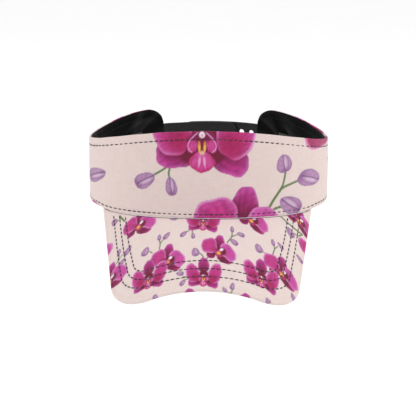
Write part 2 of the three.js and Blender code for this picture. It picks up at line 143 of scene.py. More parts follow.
def angleAt(along):
    # plan angle at a length along the band; it keeps turning past the back centre
    size = np.abs(along)
    past = size > halfLength
    angle = np.interp(np.where(past, 2 * halfLength - size, size), planLengths, planAngles)
    return np.sign(along) * np.where(past, 2 * math.pi - angle, angle)


def outwardAt(angle):
    # unit direction that points away from the head
    x = band["halfDepth"] * np.sin(angle)
    y = -band["halfWidth"] * np.cos(angle)
    size = np.hypot(x, y)
    return x / size, y / size


def planPoint(angle, inset, height):
    # point on the ellipse, moved in towards the head by inset, at a height
    outX, outY = outwardAt(angle)
    x = band["halfWidth"] * np.sin(angle) - outX * inset
    y = -band["halfDepth"] * np.cos(angle) - outY * inset
    return np.stack(np.broadcast_arrays(x, y, height), axis=-1)


attachX = band["halfWidth"] * math.sin(brim["attachAngle"])
attachY = -band["halfDepth"] * math.cos(brim["attachAngle"])
attachDrop = brim["lift"] + math.tan(brim["tilt"]) * (band["halfDepth"] + attachY)
brimRadius = (attachDrop ** 2 + attachX ** 2) / (2 * attachDrop)


def brimHeight(x, y):
    # a sheet bent to one radius across and tilted down to the front; the radius meets the hem
    sag = brimRadius - np.sqrt(brimRadius ** 2 - x ** 2)
    return brim["lift"] - sag + math.tan(brim["tilt"]) * (band["halfDepth"] + y)


def frontShare(along):
    # 1 at the front centre, falling as half a cosine to 0 at the rise angle
    part = np.minimum(1, np.abs(angleAt(along)) / band["riseAngle"])
    return 0.5 + 0.5 * np.cos(math.pi * part)


def cornerShare(along):
    # 0 along the band, then a quarter ellipse to 1 at its very end
    q = np.clip((np.abs(along) - bandEnd + band["cornerLength"]) / band["cornerLength"], 0, 1)
    return 1 - np.sqrt(1 - q * q)


def topEdge(along):
    # high at the front, falling to the sides, a small climb to the back, then the rounded corner
    wingEnd = angleAt(bandEnd - band["cornerLength"])
    wing = ease((np.abs(angleAt(along)) - band["riseAngle"]) / (wingEnd - band["riseAngle"]))
    climb = (band["frontTop"] - band["sideTop"]) * frontShare(along)
    free = band["sideTop"] + climb + band["wingRise"] * wing
    return free + (strapHigh[2] + band["endRoom"] - free) * cornerShare(along)


def hemEdge(along):
    # follows the brim's top surface, dips over the temple, level behind it, then the rounded corner
    angle = angleAt(along)
    x = np.clip(band["halfWidth"] * np.sin(angle), -attachX, attachX)
    y = np.minimum(-band["halfDepth"] * np.cos(angle), attachY)
    turn = np.abs(angle)
    sunk = ease((turn - brim["attachAngle"]) / brim["dipRun"])
    sunk = sunk * (1 - ease((turn - band["dipEnd"]) / band["climbRun"]))
    free = np.where(turn < brim["attachAngle"], brimHeight(x, y), -band["dip"] * sunk)
    return free + (strapLow[2] - band["endRoom"] - free) * cornerShare(along)


def bandPoint(along, inset, height):
    # point in the band's own terms: length along it, distance in from its outer face, height
    low, high = hemEdge(along), topEdge(along)
    up = np.clip((height - low) / (high - low), 0, 1)
    return planPoint(angleAt(along), inset + band["lean"] * frontShare(along) * up, height)


def towardsFront(along, least):
    # how much longer a thing has to be to look its own length from the front, 1 again behind the ears
    _, outY = outwardAt(angleAt(along))
    turned = 1 / np.maximum(least, -outY)
    return turned + (1 - turned) * ease((np.abs(along) - band["earPlace"]) / band["earRun"])


# Meshes

def facesOut(points, faces):
    # turns the faces round if the volume that they close is negative
    halves = [part[:, [0, k, k + 1]] for part in faces for k in range(1, part.shape[1] - 1)]
    a, b, c = points[np.concatenate(halves)].transpose(1, 0, 2)
    return [part[:, ::-1] for part in faces] if (a * np.cross(b, c)).sum() < 0 else faces


def makePiece(name, points, faces, uv=None, colour=None, sharp=50):
    # mesh object at the origin from points in millimetres and arrays of quads and triangles
    faces = facesOut(points, faces)
    mesh = bpy.data.meshes.new(name)
    mesh.vertices.add(len(points))
    mesh.vertices.foreach_set("co", (points * metre).astype(np.float32).ravel())
    loops = np.concatenate([part.ravel() for part in faces]).astype(np.int32)
    sizes = np.concatenate([np.full(len(part), part.shape[1]) for part in faces])
    mesh.loops.add(len(loops))
    mesh.loops.foreach_set("vertex_index", loops)
    mesh.polygons.add(len(sizes))
    mesh.polygons.foreach_set("loop_start", np.concatenate([[0], np.cumsum(sizes)[:-1]]).astype(np.int32))
    mesh.update(calc_edges=True)
    mesh.polygons.foreach_set("use_smooth", np.ones(len(sizes), bool))
    if uv is not None:
        layer = mesh.uv_layers.new(name="cloth")
        layer.data.foreach_set("uv", (uv[loops] * metre).astype(np.float32).ravel())
    if colour is not None:
        layer = mesh.color_attributes.new("print", "FLOAT_COLOR", "POINT")
        rgba = np.concatenate([colour, np.ones((len(colour), 1))], axis=1)
        layer.data.foreach_set("color", rgba.astype(np.float32).ravel())
    mesh.set_sharp_from_angle(angle=math.radians(sharp))
    piece = bpy.data.objects.new(name, mesh)
    bpy.context.scene.collection.objects.link(piece)
    return piece


def gridFaces(rows, columns, start=0):
    # quads of a grid whose points are numbered row by row
    first = start + (np.arange(rows - 1)[:, None] * columns + np.arange(columns - 1)).reshape(-1, 1)
    return first + np.array([0, columns, columns + 1, 1])


def zipped(fine, coarse, flip):
    # triangles between two lines of points that share their ends, one with more points than the other
    keyFine = (np.arange(len(fine) - 1) + 0.5) / (len(fine) - 1)
    keyCoarse = (np.arange(len(coarse) - 1) + 0.5) / (len(coarse) - 1)
    across = coarse[np.searchsorted(keyCoarse, keyFine)]
    back = fine[np.searchsorted(keyFine, keyCoarse, side="right")]
    faces = np.concatenate([
        np.stack([fine[:-1], fine[1:], across], axis=1),
        np.stack([coarse[:-1], back, coarse[1:]], axis=1),
    ])
    return faces[:, ::-1] if flip else faces


def closedSkin(outer, inner):
    # a fine grid in front, a coarse grid behind it, walls along both long sides and zipped ends
    m, n = outer.shape[:2]
    k = inner.shape[1]
    points = np.concatenate([outer.reshape(-1, 3), inner.reshape(-1, 3)])
    fine = np.arange(m * n).reshape(m, n)
    coarse = m * n + np.arange(m * k).reshape(m, k)
    lowWall = np.stack([fine[:-1, 0], coarse[:-1, 0], coarse[1:, 0], fine[1:, 0]], axis=1)
    highWall = np.stack([fine[:-1, -1], fine[1:, -1], coarse[1:, -1], coarse[:-1, -1]], axis=1)
    quads = np.concatenate([gridFaces(m, n), gridFaces(m, k, m * n)[:, ::-1], lowWall, highWall])
    triangles = np.concatenate([zipped(fine[0], coarse[0], False), zipped(fine[-1], coarse[-1], True)])
    return points, [quads, triangles]


def unitLength(vectors):
    # the same directions with a length of 1
    return vectors / np.linalg.norm(vectors, axis=-1, keepdims=True)


def flatPairs(*grids):
    # flat places of one or more grids, one after the other: each grid is a pair of arrays
    pairs = [np.stack(np.broadcast_arrays(u, v), axis=-1).reshape(-1, 2) for u, v in grids]
    return np.concatenate(pairs)


def runAlong(points):
    # length along a line of points up to each of them
    return np.concatenate([[0], np.cumsum(np.linalg.norm(np.diff(points, axis=0), axis=-1))])


def spread(breaks, counts):
    # values that run through the breaks with so many steps between each two
    runs = [np.linspace(a, b, n, endpoint=False) for a, b, n in zip(breaks[:-1], breaks[1:], counts)]
    return np.concatenate([*runs, [breaks[-1]]])


def nearLine(x, y, line):
    # distance in plan from many points to a line of close points, and the place along it in millimetres
    run = runAlong(line)
    spots = np.stack([x.ravel(), y.ravel()], axis=1)
    distance, place = [], []
    for part in np.array_split(spots, 24):
        gaps = np.hypot(part[:, :1] - line[:, 0], part[:, 1:] - line[:, 1])
        nearest = gaps.argmin(axis=1)
        distance.append(gaps[np.arange(len(part)), nearest])
        place.append(run[nearest])
    return np.concatenate(distance).reshape(x.shape), np.concatenate(place).reshape(x.shape)


# Print: orchids, buds and stems painted on the cloth's points

def tone(red, green, blue):
    # a screen colour, 0 to 255, as the linear colour that shaders use
    c = np.array([red, green, blue]) / 255
    return np.where(c <= 0.04045, c / 12.92, ((c + 0.055) / 1.055) ** 2.4)


def dye(red, green, blue):
    # the studio is bright, so the cloth's own colour is a little deeper than it looks
    return 0.81 * tone(red, green, blue)


brush = {
    "reach": 1.75,          # how far a flower may reach from its heart, in its own units
    "softEdge": 0.42,       # softness of painted edges, in millimetres
    "stemSoft": 0.4,
    "fineMottle": 0.15, "broadMottle": 0.1, "veinShare": 0.12, "veins": 30,
    "shadow": 0.6,          # a petal's shadow on what lies under it, and how wide
    "shadowWidth": 0.12,
}
paint = {
    "bandGround": dye(227, 207, 202),
    "brimGround": dye(233, 214, 209),
    "petal": {"heart": dye(168, 32, 92), "body": dye(188, 52, 128), "edge": dye(200, 84, 162),
              "rim": dye(224, 156, 210), "rimShare": 0.9, "rimWide": 0.024},
    "sepal": {"heart": dye(118, 20, 62), "body": dye(168, 40, 118), "edge": dye(190, 78, 160),
              "rim": dye(206, 120, 188), "rimShare": 0.4, "rimWide": 0.02},
    "light": {"heart": dye(170, 50, 110), "body": dye(196, 72, 152), "edge": dye(206, 98, 178),
              "rim": dye(228, 166, 216), "rimShare": 0.6, "rimWide": 0.02},
    "shade": {"heart": dye(96, 12, 40), "body": dye(140, 24, 82), "edge": dye(172, 46, 122),
              "rim": dye(190, 90, 160), "rimShare": 0.4, "rimWide": 0.02},
    "crimson": {"heart": dye(126, 14, 56), "body": dye(160, 26, 82), "edge": dye(182, 44, 110),
                "rim": dye(232, 150, 205), "rimShare": 0.85, "rimWide": 0.018},
    "maroon": dye(112, 18, 50),
    "lip": {"heart": dye(206, 88, 156), "body": dye(200, 62, 140), "edge": dye(176, 30, 92),
            "rim": dye(196, 60, 110), "rimShare": 0.3, "rimWide": 0.02},
    "white": dye(250, 236, 244),
    "pale": dye(232, 176, 214),
    "yellow": dye(238, 190, 76),
    "orange": dye(222, 128, 74),
    "cream": dye(240, 206, 150),
    "bud": {"heart": dye(148, 98, 146), "body": dye(176, 132, 170), "edge": dye(176, 136, 174),
            "rim": dye(134, 104, 148), "rimShare": 0.7, "rimWide": 0.07},
    "budLine": dye(104, 66, 112),
    "budLight": dye(214, 186, 212),
    "stem": dye(106, 134, 80),
    "stemEdge": dye(66, 98, 58),
}


def inUnits(canvas, spot, unit, stretch=1, turn=0, wide=1):
    # the part of a canvas round a spot, in units of the flower, turned anticlockwise by degrees
    du, dv = (canvas["u"] - spot[0]) / wide, (canvas["v"] - spot[1]) / stretch
    near = np.flatnonzero(np.hypot(du, dv) < brush["reach"] * unit)
    c, s = math.cos(math.radians(turn)), math.sin(math.radians(turn))
    x = (du[near] * c + dv[near] * s) / unit
    y = (-du[near] * s + dv[near] * c) / unit
    colour, ink = canvas["colour"][near], canvas["ink"][near]
    return {"u": x, "v": y, "colour": colour, "ink": ink, "near": near, "soft": brush["softEdge"] / unit}


def lay(part, colour, share):
    # mixes a colour into the painted points by a share
    part["colour"] += (colour - part["colour"]) * np.clip(share, 0, 1)[:, None]


def rounded(part, spot, half, turn, square=2.0, flare=0.0):
    # distance through a rounded shape, 1 on its edge: (|across|^square + |along|^square)^(1/square)
    c, s = math.cos(math.radians(turn)), math.sin(math.radians(turn))
    du, dv = part["u"] - spot[0], part["v"] - spot[1]
    along = (-du * s + dv * c) / half[1]
    across = (du * c + dv * s) / half[0] / (1 + flare * np.clip(along, -1, 1))
    return across, along, (np.abs(across) ** square + np.abs(along) ** square) ** (1 / square)


def covered(part, through, half):
    # 1 inside a shape and 0 outside, soft over the brush's edge
    return 1 - ease((through - 1) * min(half) / part["soft"] + 0.5)


def paintSpot(part, colour, spot, half, turn=0, share=1.0, blur=0.0):
    # one soft spot of colour
    _, _, through = rounded(part, spot, half, turn)
    cover = 1 - ease((through - 1 + blur) / (2 * blur)) if blur else covered(part, through, half)
    lay(part, colour, share * cover)


def paintPetal(part, look, spot, half, turn=0, square=2.3, flare=0.0, heart=(0, 0), reach=0.75, wavy=0.035):
    # a petal: dark towards the flower's heart, light towards its own edge, with a fine rim and veins
    across, along, through = rounded(part, spot, half, turn, square, flare)
    around = np.arctan2(along, across)
    waves = np.sin(3 * around + 9 * spot[0]) + 0.6 * np.sin(7 * around + 5 * spot[1])
    through = through * (1 + wavy * waves)
    cover = covered(part, through, half)
    du, dv = part["u"] - heart[0], part["v"] - heart[1]
    away = np.hypot(du, dv)
    deep = (1 - ease((away - 0.1) / reach))[:, None]
    light = (ease((through - 0.45) / 0.6) * 0.7)[:, None]
    colour = look["body"] + (look["edge"] - look["body"]) * light
    colour = colour + (look["heart"] - colour) * deep
    angle = np.arctan2(dv, du)
    veins = np.sin(angle * brush["veins"] + 3 * grain(du, dv, 0.6, 5))
    veins = veins * ease(away * 3) * ease((1 - through) * 5)
    fine, broad = grain(du, dv, 0.11, 9), grain(du, dv, 0.5, 10)
    mottle = 1 + brush["fineMottle"] * fine + brush["broadMottle"] * broad + brush["veinShare"] * veins
    colour = colour * mottle[:, None]
    # a petal that is already there lies in this one's shadow
    shadow = brush["shadow"] * hump(through - 1, brush["shadowWidth"])
    lay(part, paint["maroon"], shadow * (1 - cover) * part["ink"])
    lay(part, colour, cover)
    part["ink"] = np.maximum(part["ink"], cover)
    broken = 0.65 + 0.35 * np.sin(2 * around + 4 * spot[0])
    span = max(0.9 * part["soft"], look["rimWide"])
    rim = look["rimShare"] * hump((1 - through) * min(half) - 0.8 * span, span)
    lay(part, look["rim"], rim * broken * cover * ease((away - 0.2) * 4))


def paintStroke(part, colour, points, width, share=1.0, edge=None):
    # a line through a few points, bent smoothly, with an edge colour on both sides
    points = np.array(points, float)
    place = np.linspace(0, len(points) - 1, 8 * (len(points) - 1) + 1)
    line = np.stack([np.interp(place, np.arange(len(points)), points[:, k]) for k in (0, 1)], axis=1)
    for _ in range(5):
        line[1:-1] = (line[:-2] + line[1:-1] * 2 + line[2:]) / 4
    starts, runs = line[:-1], np.diff(line, axis=0)
    du = part["u"][:, None] - starts[:, 0]
    dv = part["v"][:, None] - starts[:, 1]
    t = np.clip((du * runs[:, 0] + dv * runs[:, 1]) / (runs ** 2).sum(axis=1), 0, 1)
    away = np.hypot(du - t * runs[:, 0], dv - t * runs[:, 1]).min(axis=1)
    cover = 1 - ease((away - width / 2) / part["soft"] + 0.5)
    middle = ease((width / 2 - away) / (0.4 * width))[:, None]
    mixed = colour if edge is None else edge + (colour - edge) * middle
    lay(part, mixed, cover * share)


def openOrchid(part):
    # seen from the front; the heart of the flower is at 0, 0 and its half width is about 1
    maroon, lip, rim = paint["maroon"], paint["lip"], paint["petal"]["rim"]
    paintPetal(part, paint["sepal"], (0, 0.92), (0.37, 0.5), 0, heart=(0, 0.4))
    paintPetal(part, paint["sepal"], (-0.57, -0.18), (0.39, 0.28), 10, 2.9, reach=0.75)
    paintPetal(part, paint["sepal"], (0.59, -0.31), (0.37, 0.27), -25, 3.2, reach=0.75)
    for side in (-1, 1):
        paintSpot(part, maroon, (side * 0.26, -0.16), (0.2, 0.18), 0, 0.95, 0.3)
    paintSpot(part, maroon, (0, 0.12), (0.46, 0.4), 0, 1.0, 0.1)
    paintPetal(part, paint["petal"], (-0.7, 0.42), (0.42, 0.67), 19, 2.2, heart=(-0.45, 0.1), reach=0.42)
    paintPetal(part, paint["petal"], (0.75, 0.39), (0.42, 0.69), -14, 2.2, heart=(0.6, 0.0), reach=0.42)
    paintSpot(part, paint["shade"]["body"], (0, 0.06), (0.3, 0.27), 0, 0.95, 0.12)
    paintSpot(part, maroon, (0, 0.24), (0.15, 0.16), 0, 0.7, 0.3)
    # a striped lobe on each side, with the pale edge of the hood round it
    hood = np.array([(0.09, 0.26), (0.16, 0.2), (0.23, 0.13), (0.29, 0.03), (0.28, -0.07), (0.21, -0.12)])
    for side in (-1, 1):
        paintPetal(part, lip, (side * 0.2, -0.01), (0.09, 0.13), side * 20, 2.0, reach=0.05)
        for fold in (0.1, 0.15, 0.2):
            stripe = [(side * fold, 0.1), (side * (fold + 0.04), -0.1)]
            paintStroke(part, lip["heart"], stripe, 0.014, 0.6)
        paintStroke(part, rim, hood * (side, 1), 0.022, 0.9)
    # the lip, with yellow bars above it and the white cap on top
    paintPetal(part, lip, (0, -0.32), (0.27, 0.21), 0, 1.6, 0.1, reach=0.2, wavy=0.03)
    for side in (-1, 1):
        paintSpot(part, paint["pale"], (side * 0.05, -0.3), (0.025, 0.1), side * 6, 0.8, 0.6)
        paintSpot(part, lip["heart"], (side * 0.16, -0.32), (0.05, 0.09), side * 12, 0.5, 0.7)
        paintSpot(part, paint["yellow"], (side * 0.055, -0.02), (0.025, 0.1), side * -3, 0.95, 0.4)
        paintSpot(part, paint["orange"], (side * 0.058, 0.05), (0.02, 0.04), side * -3, 0.9, 0.4)
    paintStroke(part, maroon, [(0, 0.12), (0, -0.1)], 0.03, 0.7)
    paintSpot(part, paint["cream"], (0, -0.13), (0.045, 0.04), 0, 0.7, 0.5)
    paintSpot(part, paint["white"], (0, 0.22), (0.06, 0.06), 0, 0.95, 0.3)
    paintSpot(part, lip["heart"], (0, 0.21), (0.03, 0.03), 0, 0.6, 0.5)


def turnedOrchid(part):
    # seen from one side: petals behind, then the two big ones, then the dark cup and its bright heart
    maroon = paint["maroon"]
    paintPetal(part, paint["sepal"], (0.03, 0.64), (0.31, 0.5), -6, 2.3, heart=(-0.05, 0.25))
    paintPetal(part, paint["shade"], (-0.45, -0.1), (0.27, 0.26), 10, 2.3, reach=0.5)
    paintPetal(part, paint["shade"], (0.33, -0.38), (0.46, 0.2), -20, 2.2, reach=0.7)
    paintPetal(part, paint["petal"], (-0.56, 0.45), (0.46, 0.47), 6, 3.0, reach=0.5)
    paintPetal(part, paint["light"], (0.58, 0.13), (0.36, 0.6), 36, 2.5, reach=0.45)
    paintSpot(part, maroon, (0.12, 0.1), (0.3, 0.28), 0, 0.85, 0.2)
    paintPetal(part, paint["lip"], (0.03, -0.02), (0.24, 0.24), 0, 2.0, reach=0.1)
    paintSpot(part, maroon, (0.28, 0.1), (0.15, 0.2), -15, 0.95, 0.25)
    paintSpot(part, maroon, (0.0, -0.04), (0.19, 0.17), 0, 0.6, 0.3)
    paintSpot(part, paint["white"], (0.17, 0.24), (0.11, 0.08), 30, 0.95, 0.35)
    paintSpot(part, paint["orange"], (0, 0.0), (0.13, 0.11), 0, 1.0, 0.35)
    paintSpot(part, paint["yellow"], (0, 0.01), (0.08, 0.07), 0, 0.9, 0.5)


def bud(part, wide=0.62):
    # an egg so many times as wide as it is long, with a darker fold line and a light patch beside it
    paintPetal(part, paint["bud"], (0, 0), (wide, 1.0), 0, 2.1, -0.14, (0.1, -0.9), 0.7, 0.02)
    paintSpot(part, paint["budLight"], (0.18 * wide, 0.1), (0.22 * wide, 0.6), -4, 0.75, 0.6)
    paintStroke(part, paint["budLine"], [(0.0, 0.92), (-0.1 * wide, 0.2), (-0.02, -0.75)], 0.1, 0.75)
    lowFold = [(0.5 * wide, 0.6), (0.62 * wide, 0.0), (0.4 * wide, -0.6)]
    paintStroke(part, paint["budLine"], lowFold, 0.08, 0.3)


def roundBud(part):
    bud(part, 0.84)


def slimBud(part):
    bud(part, 0.4)


def lonePetal(part):
    # the lower part of a petal whose flower is folded away
    paintPetal(part, paint["crimson"], (0, 0.55), (0.62, 0.62), 0, 2.6, heart=(0.6, 0.3), reach=0.9)


flowerKinds = {
    "open": openOrchid, "turned": turnedOrchid, "petal": lonePetal,
    "bud": bud, "roundBud": roundBud, "slimBud": slimBud,
}


def paintPrint(u, v, design):
    # stems first, then buds, then flowers, each over the last; u runs across the cloth and v up it
    canvas = {"u": u.ravel(), "v": v.ravel(), "ink": np.zeros(u.size)}
    canvas["colour"] = np.tile(design["ground"], (u.size, 1))
    spots = np.stack([canvas["u"], canvas["v"]], axis=1)
    for width, points in design["stems"]:
        low, high = np.min(points, axis=0) - 2 * width, np.max(points, axis=0) + 2 * width
        near = np.flatnonzero(((spots > low) & (spots < high)).all(axis=1))
        part = {key: canvas[key][near] for key in ("u", "v", "colour")}
        part["soft"] = brush["stemSoft"]
        paintStroke(part, paint["stem"], points, width, 1.0, paint["stemEdge"])
        canvas["colour"][near] = part["colour"]
    for kind, x, y, unit, turn in [*design["buds"], *design["flowers"]]:
        part = inUnits(canvas, (x, y), unit, design["stretch"], turn, design["wideAt"](x))
        flowerKinds[kind](part)
        canvas["colour"][part["near"]] = part["colour"]
        canvas["ink"][part["near"]] = part["ink"]
    return canvas["colour"]


def printedPoints(count, u, v, design):
    # the print on a skin's outer points and plain ground on those behind them
    colour = np.tile(design["ground"], (count, 1))
    colour[:u.size] = paintPrint(u, v, design)
    return colour


def bandWide(place):
    # the print is drawn wider where the band turns away from the front, so that it looks right from there
    return towardsFront(place, bandPrint["leastFacing"])


def brimWide(place):
    # the same where the brim bends down to its sides: one over the cosine of its slope
    return 1 / math.cos(place / brimRadius)


# Large print on the band: places along it and above its hem line
bandPrint = {
    "ground": paint["bandGround"],
    "wideAt": bandWide,
    "leastFacing": 0.45,    # the print is drawn no wider than one over this
    "stretch": 1,
    "flowers": [
        ("open", -3, 60.5, 36.9, 0), ("turned", 27.5, -8.5, 33.5, 0),
        ("turned", 200, 24, 33.5, -6), ("turned", -113, -37.5, 33.5, 0), ("turned", -180, 0, 33.5, -5),
        ("open", -232, 12, 30, 8), ("open", 152, 66, 36.9, 0), ("petal", 131, 45, 37, 0),
    ],
    "buds": [
        ("bud", -48, 32, 8.6, -55), ("bud", -26, 30, 6.9, 10), ("slimBud", -111, 22.5, 11.5, -50),
        ("roundBud", 63, 42.5, 6.8, 8), ("bud", 93, 25.5, 9.5, -122), ("bud", 69, 10, 9.8, 48),
        ("bud", 150, 18, 8.6, -40), ("bud", 168, 12, 7.6, 20), ("bud", -142, 14, 7.6, 60),
        ("bud", -204, 34, 7.6, -30), ("bud", 240, 34, 7.6, 50),
    ],
    "stems": [
        (1.5, [(-27, 46), (-33, 41.5), (-42.5, 35.5)]), (1.5, [(-27, 46), (-28, 40), (-27.5, 35.5)]),
        (2.2, [(43, 5), (52.5, 17.5), (60.5, 25.5)]), (1.8, [(60.5, 25.5), (62.5, 30.5), (64, 36)]),
        (1.7, [(59, 24), (63.5, 25.5), (71.5, 26.5), (83.5, 27.5)]),
        (1.9, [(47, 8), (53.5, 10.5), (60, 11)]),
        (1.3, [(136, 30), (142, 25), (150, 18)]), (1.3, [(158, 30), (160, 22), (167, 14)]),
        (1.3, [(-154, 26), (-149, 20), (-142, 14)]), (1.3, [(-196, 22), (-199, 28), (-204, 34)]),
    ],
}

# Small print on the brim: across it, and down from the band's front
brimPrint = {
    "ground": paint["brimGround"],
    "wideAt": brimWide,
    "stretch": 1.15,
    "flowers": [
        ("open", -2, -4, 10.9, 0), ("turned", -51.5, 7.5, 11.9, 0), ("turned", 33.5, 5, 11.9, 0),
        ("turned", 75.5, 30.5, 11.9, 0), ("turned", -27, -34, 11.9, 0), ("turned", 9.5, -29.5, 11.9, 0),
        ("turned", 57.5, -29.5, 11.9, 0), ("turned", -76.5, -24, 11.9, 0), ("open", -41, -45, 10.9, 0),
        ("open", -1, -52, 10.9, 0), ("open", 41, -43.5, 10.9, 0), ("turned", -98, 8, 11.9, 0),
        ("turned", 96, 6, 11.9, 0), ("open", -10.5, -77.5, 10.9, 0), ("open", 29.5, -77, 10.9, 0),
    ],
    "buds": [
        ("bud", -75.5, 29, 3.2, 30), ("bud", -34, -10, 2.3, 5), ("bud", -28.5, -10.5, 3.0, -48),
        ("roundBud", -44.5, -18, 3.3, -25), ("bud", -16, -12, 2.8, -55), ("bud", -9, -14.5, 2.3, 10),
        ("roundBud", -7, -29, 3.3, 20), ("bud", -23.5, 4, 3.0, 80), ("bud", -68.5, -3.5, 2.3, 0),
        ("bud", -60, -8, 3.4, -42), ("bud", -65.5, -15.5, 3.3, -48), ("bud", -17.5, -46, 2.8, 75),
        ("bud", -15.5, -54, 2.7, -40), ("roundBud", -35.5, -61, 2.3, -20), ("bud", 19, -7, 2.3, 5),
        ("bud", 25.5, -10, 2.8, 85), ("bud", 20.5, -18, 3.2, 60), ("roundBud", 39, -17, 3.3, 25),
        ("bud", 50.5, -6, 2.4, 12), ("bud", 57, -5, 2.6, 60), ("roundBud", 66.5, 13.5, 3.3, 30),
        ("bud", 75, -3.5, 2.8, 62), ("bud", 19.5, -56, 2.7, -12), ("bud", 14, -60, 2.3, 40),
        ("roundBud", 46, -58.5, 2.3, 30), ("bud", 68, -42.5, 3.0, 30),
    ],
    "stems": [
        (1.5, [(56, 23), (63, 20.5), (71.5, 20), (78.5, 21)]),
        (0.9, [(78.5, 21), (74.5, 16.5), (69.5, 15)]),
        (0.9, [(15.5, -19.5), (19, -13.5), (19, -9)]), (0.8, [(19, -13.5), (22.5, -11)]),
        (0.9, [(49.5, -18.5), (52, -10.5), (51, -8)]), (0.8, [(52, -10.5), (54.5, -7)]),
        (0.8, [(42, -18), (45.5, -19.5)]), (0.9, [(14.5, -61), (18.5, -63), (19.5, -59)]),
        (0.9, [(-33.5, -20.5), (-33, -15.5), (-34, -12)]), (0.8, [(-33, -15.5), (-30.5, -12.5)]),
        (0.8, [(-41, -19.5), (-39, -21.5)]), (1.3, [(-70.5, 31), (-67.5, 26), (-65, 22)]),
        (0.8, [(-68.5, 27), (-72.5, 27)]), (0.9, [(-73, -15.5), (-68.5, -10.5), (-68, -6.5)]),
        (0.8, [(-68.5, -10.5), (-65, -8.5), (-62, -8)]), (0.8, [(-70, -15.5), (-67.5, -15)]),
        (0.8, [(-13.5, -10.5), (-10.5, -8.5)]), (0.8, [(-9.5, -8.5), (-9.5, -12.5)]),
        (0.8, [(-15, -49), (-10, -50.5)]), (0.8, [(-14, -52), (-10, -50.5)]),
        (0.9, [(-3.5, -30.5), (-2, -32), (-0.5, -36)]), (0.8, [(2.5, -33), (-0.5, -37)]),
    ],
}

# Band cover: cloth folded over the top edge and under the hem
bandCover = {
    "fold": 1.5,            # half the thickness of the folded hem
    "edge": 0.8,            # half the thickness at the top edge
    "turnIn": 6,            # cloth turned in past each fold
    "cloth": 0.6,
    "rows": 88,             # points up the face
    "stitchPull": 0.3,      # how far a stitch row sinks
    "topRow": 6,            # stitch rows from the top edge and from the hem
    "hemRow": 3,
    "rowEnd": bandEnd - 14,
    "stitchPitch": 3.8,
    "ripple": 0.22,         # slow unevenness of the face
    "fullness": 0.25,       # how far the cloth swells between the rows
    "wobble": 0.16,         # unevenness of the top edge
}


def stitchDip(distance, place, pull):
    # a groove along a stitch row, deeper in the middle of each stitch
    wave = 0.75 + 0.25 * np.cos(2 * math.pi * place / bandCover["stitchPitch"])
    return pull * hump(distance, 1.0) * wave


def makeBandCover():
    # profile up the inside turn-in, over the fold, down the face, round the hem; carried along the band
    c = bandCover
    fold = c["fold"]
    turnPlaces = np.linspace(0, math.pi, 9)
    straight = spread([0, 110, bandEnd - band["cornerLength"]], [220, 115])
    cornerTurns = np.linspace(0, math.pi / 2, 41)[1:]
    corner = bandEnd - band["cornerLength"] * (1 - np.sin(cornerTurns))
    right = np.concatenate([straight, corner])
    along = np.concatenate([-right[:0:-1], right])[:, None]
    top, hem = topEdge(along), hemEdge(along)
    wobble = c["wobble"] * grain(along, 0, 23, 3)
    # heights and insets of the outer skin, row by row
    rise = np.linspace(1, 0, 5)[:-1]
    down = np.linspace(0, 1, c["rows"])[1:-1]
    edge = c["edge"]
    sheetTop, sheetLow = top - edge, hem + fold
    heights = np.concatenate([
        sheetTop - rise * (c["turnIn"] - edge),
        sheetTop + (edge + wobble) * np.sin(turnPlaces),
        sheetTop + (sheetLow - sheetTop) * down,
        sheetLow - fold * np.sin(turnPlaces),
        sheetLow + rise[::-1] * (c["turnIn"] - fold),
    ], axis=1)
    insets = np.concatenate([
        2 * edge + (2 * fold - 2 * edge) * ease(rise * 2),
        edge + edge * np.cos(turnPlaces),
        np.zeros_like(down),
        fold - fold * np.cos(turnPlaces),
        np.full_like(rise, 2 * fold),
    ])
    # the printed height keeps counting round the folds
    printHeights = np.concatenate([
        sheetTop + edge * math.pi + rise * (c["turnIn"] - edge),
        sheetTop + edge * (math.pi - turnPlaces),
        sheetTop + (sheetLow - sheetTop) * down,
        sheetLow - fold * turnPlaces,
        sheetLow - fold * math.pi - rise[::-1] * (c["turnIn"] - fold),
    ], axis=1)
    # stitch rows, slow ripples and a gentle fullness between the rows
    inRow = ease((c["rowEnd"] - np.abs(along)) / 3)
    face = ease((heights - hem) / 2) * ease((top - heights) / 2)
    for row in (top - c["topRow"], hem + c["hemRow"]):
        insets = insets + stitchDip(heights - row, along, c["stitchPull"]) * inRow * face
    fullness = np.sin(math.pi * np.clip((heights - hem - 3) / (top - hem - 10), 0, 1))
    insets = insets - (c["fullness"] * fullness + c["ripple"] * grain(along, 1.6 * heights, 46, 4)) * face
    # the two ends close like a pillow
    close = np.clip((np.abs(along) - bandEnd + fold) / fold, 0, 0.97)
    insets = fold + (insets - fold) * np.sqrt(1 - close ** 2)
    outer = bandPoint(along, insets, heights)
    cloth = c["cloth"]
    innerHeights = np.concatenate([
        top - c["turnIn"], top - 2.6, top - 1.2, top - 1.4, hem + fold - 0.3, hem + fold, hem + c["turnIn"],
    ], axis=1)
    inside = 2 * fold - cloth
    innerInsets = np.array([inside, inside, 2 * edge - 0.5, cloth - 0.1, cloth, inside, inside])
    innerInsets = fold + (innerInsets - fold) * np.sqrt(1 - close ** 2)
    inner = bandPoint(along, innerInsets, innerHeights)
    points, faces = closedSkin(outer, inner)
    uv = flatPairs((along, printHeights), (along, innerHeights))
    colour = printedPoints(len(points), *np.broadcast_arrays(along, printHeights), bandPrint)
    return makePiece("bandCover", points, faces, uv, colour)


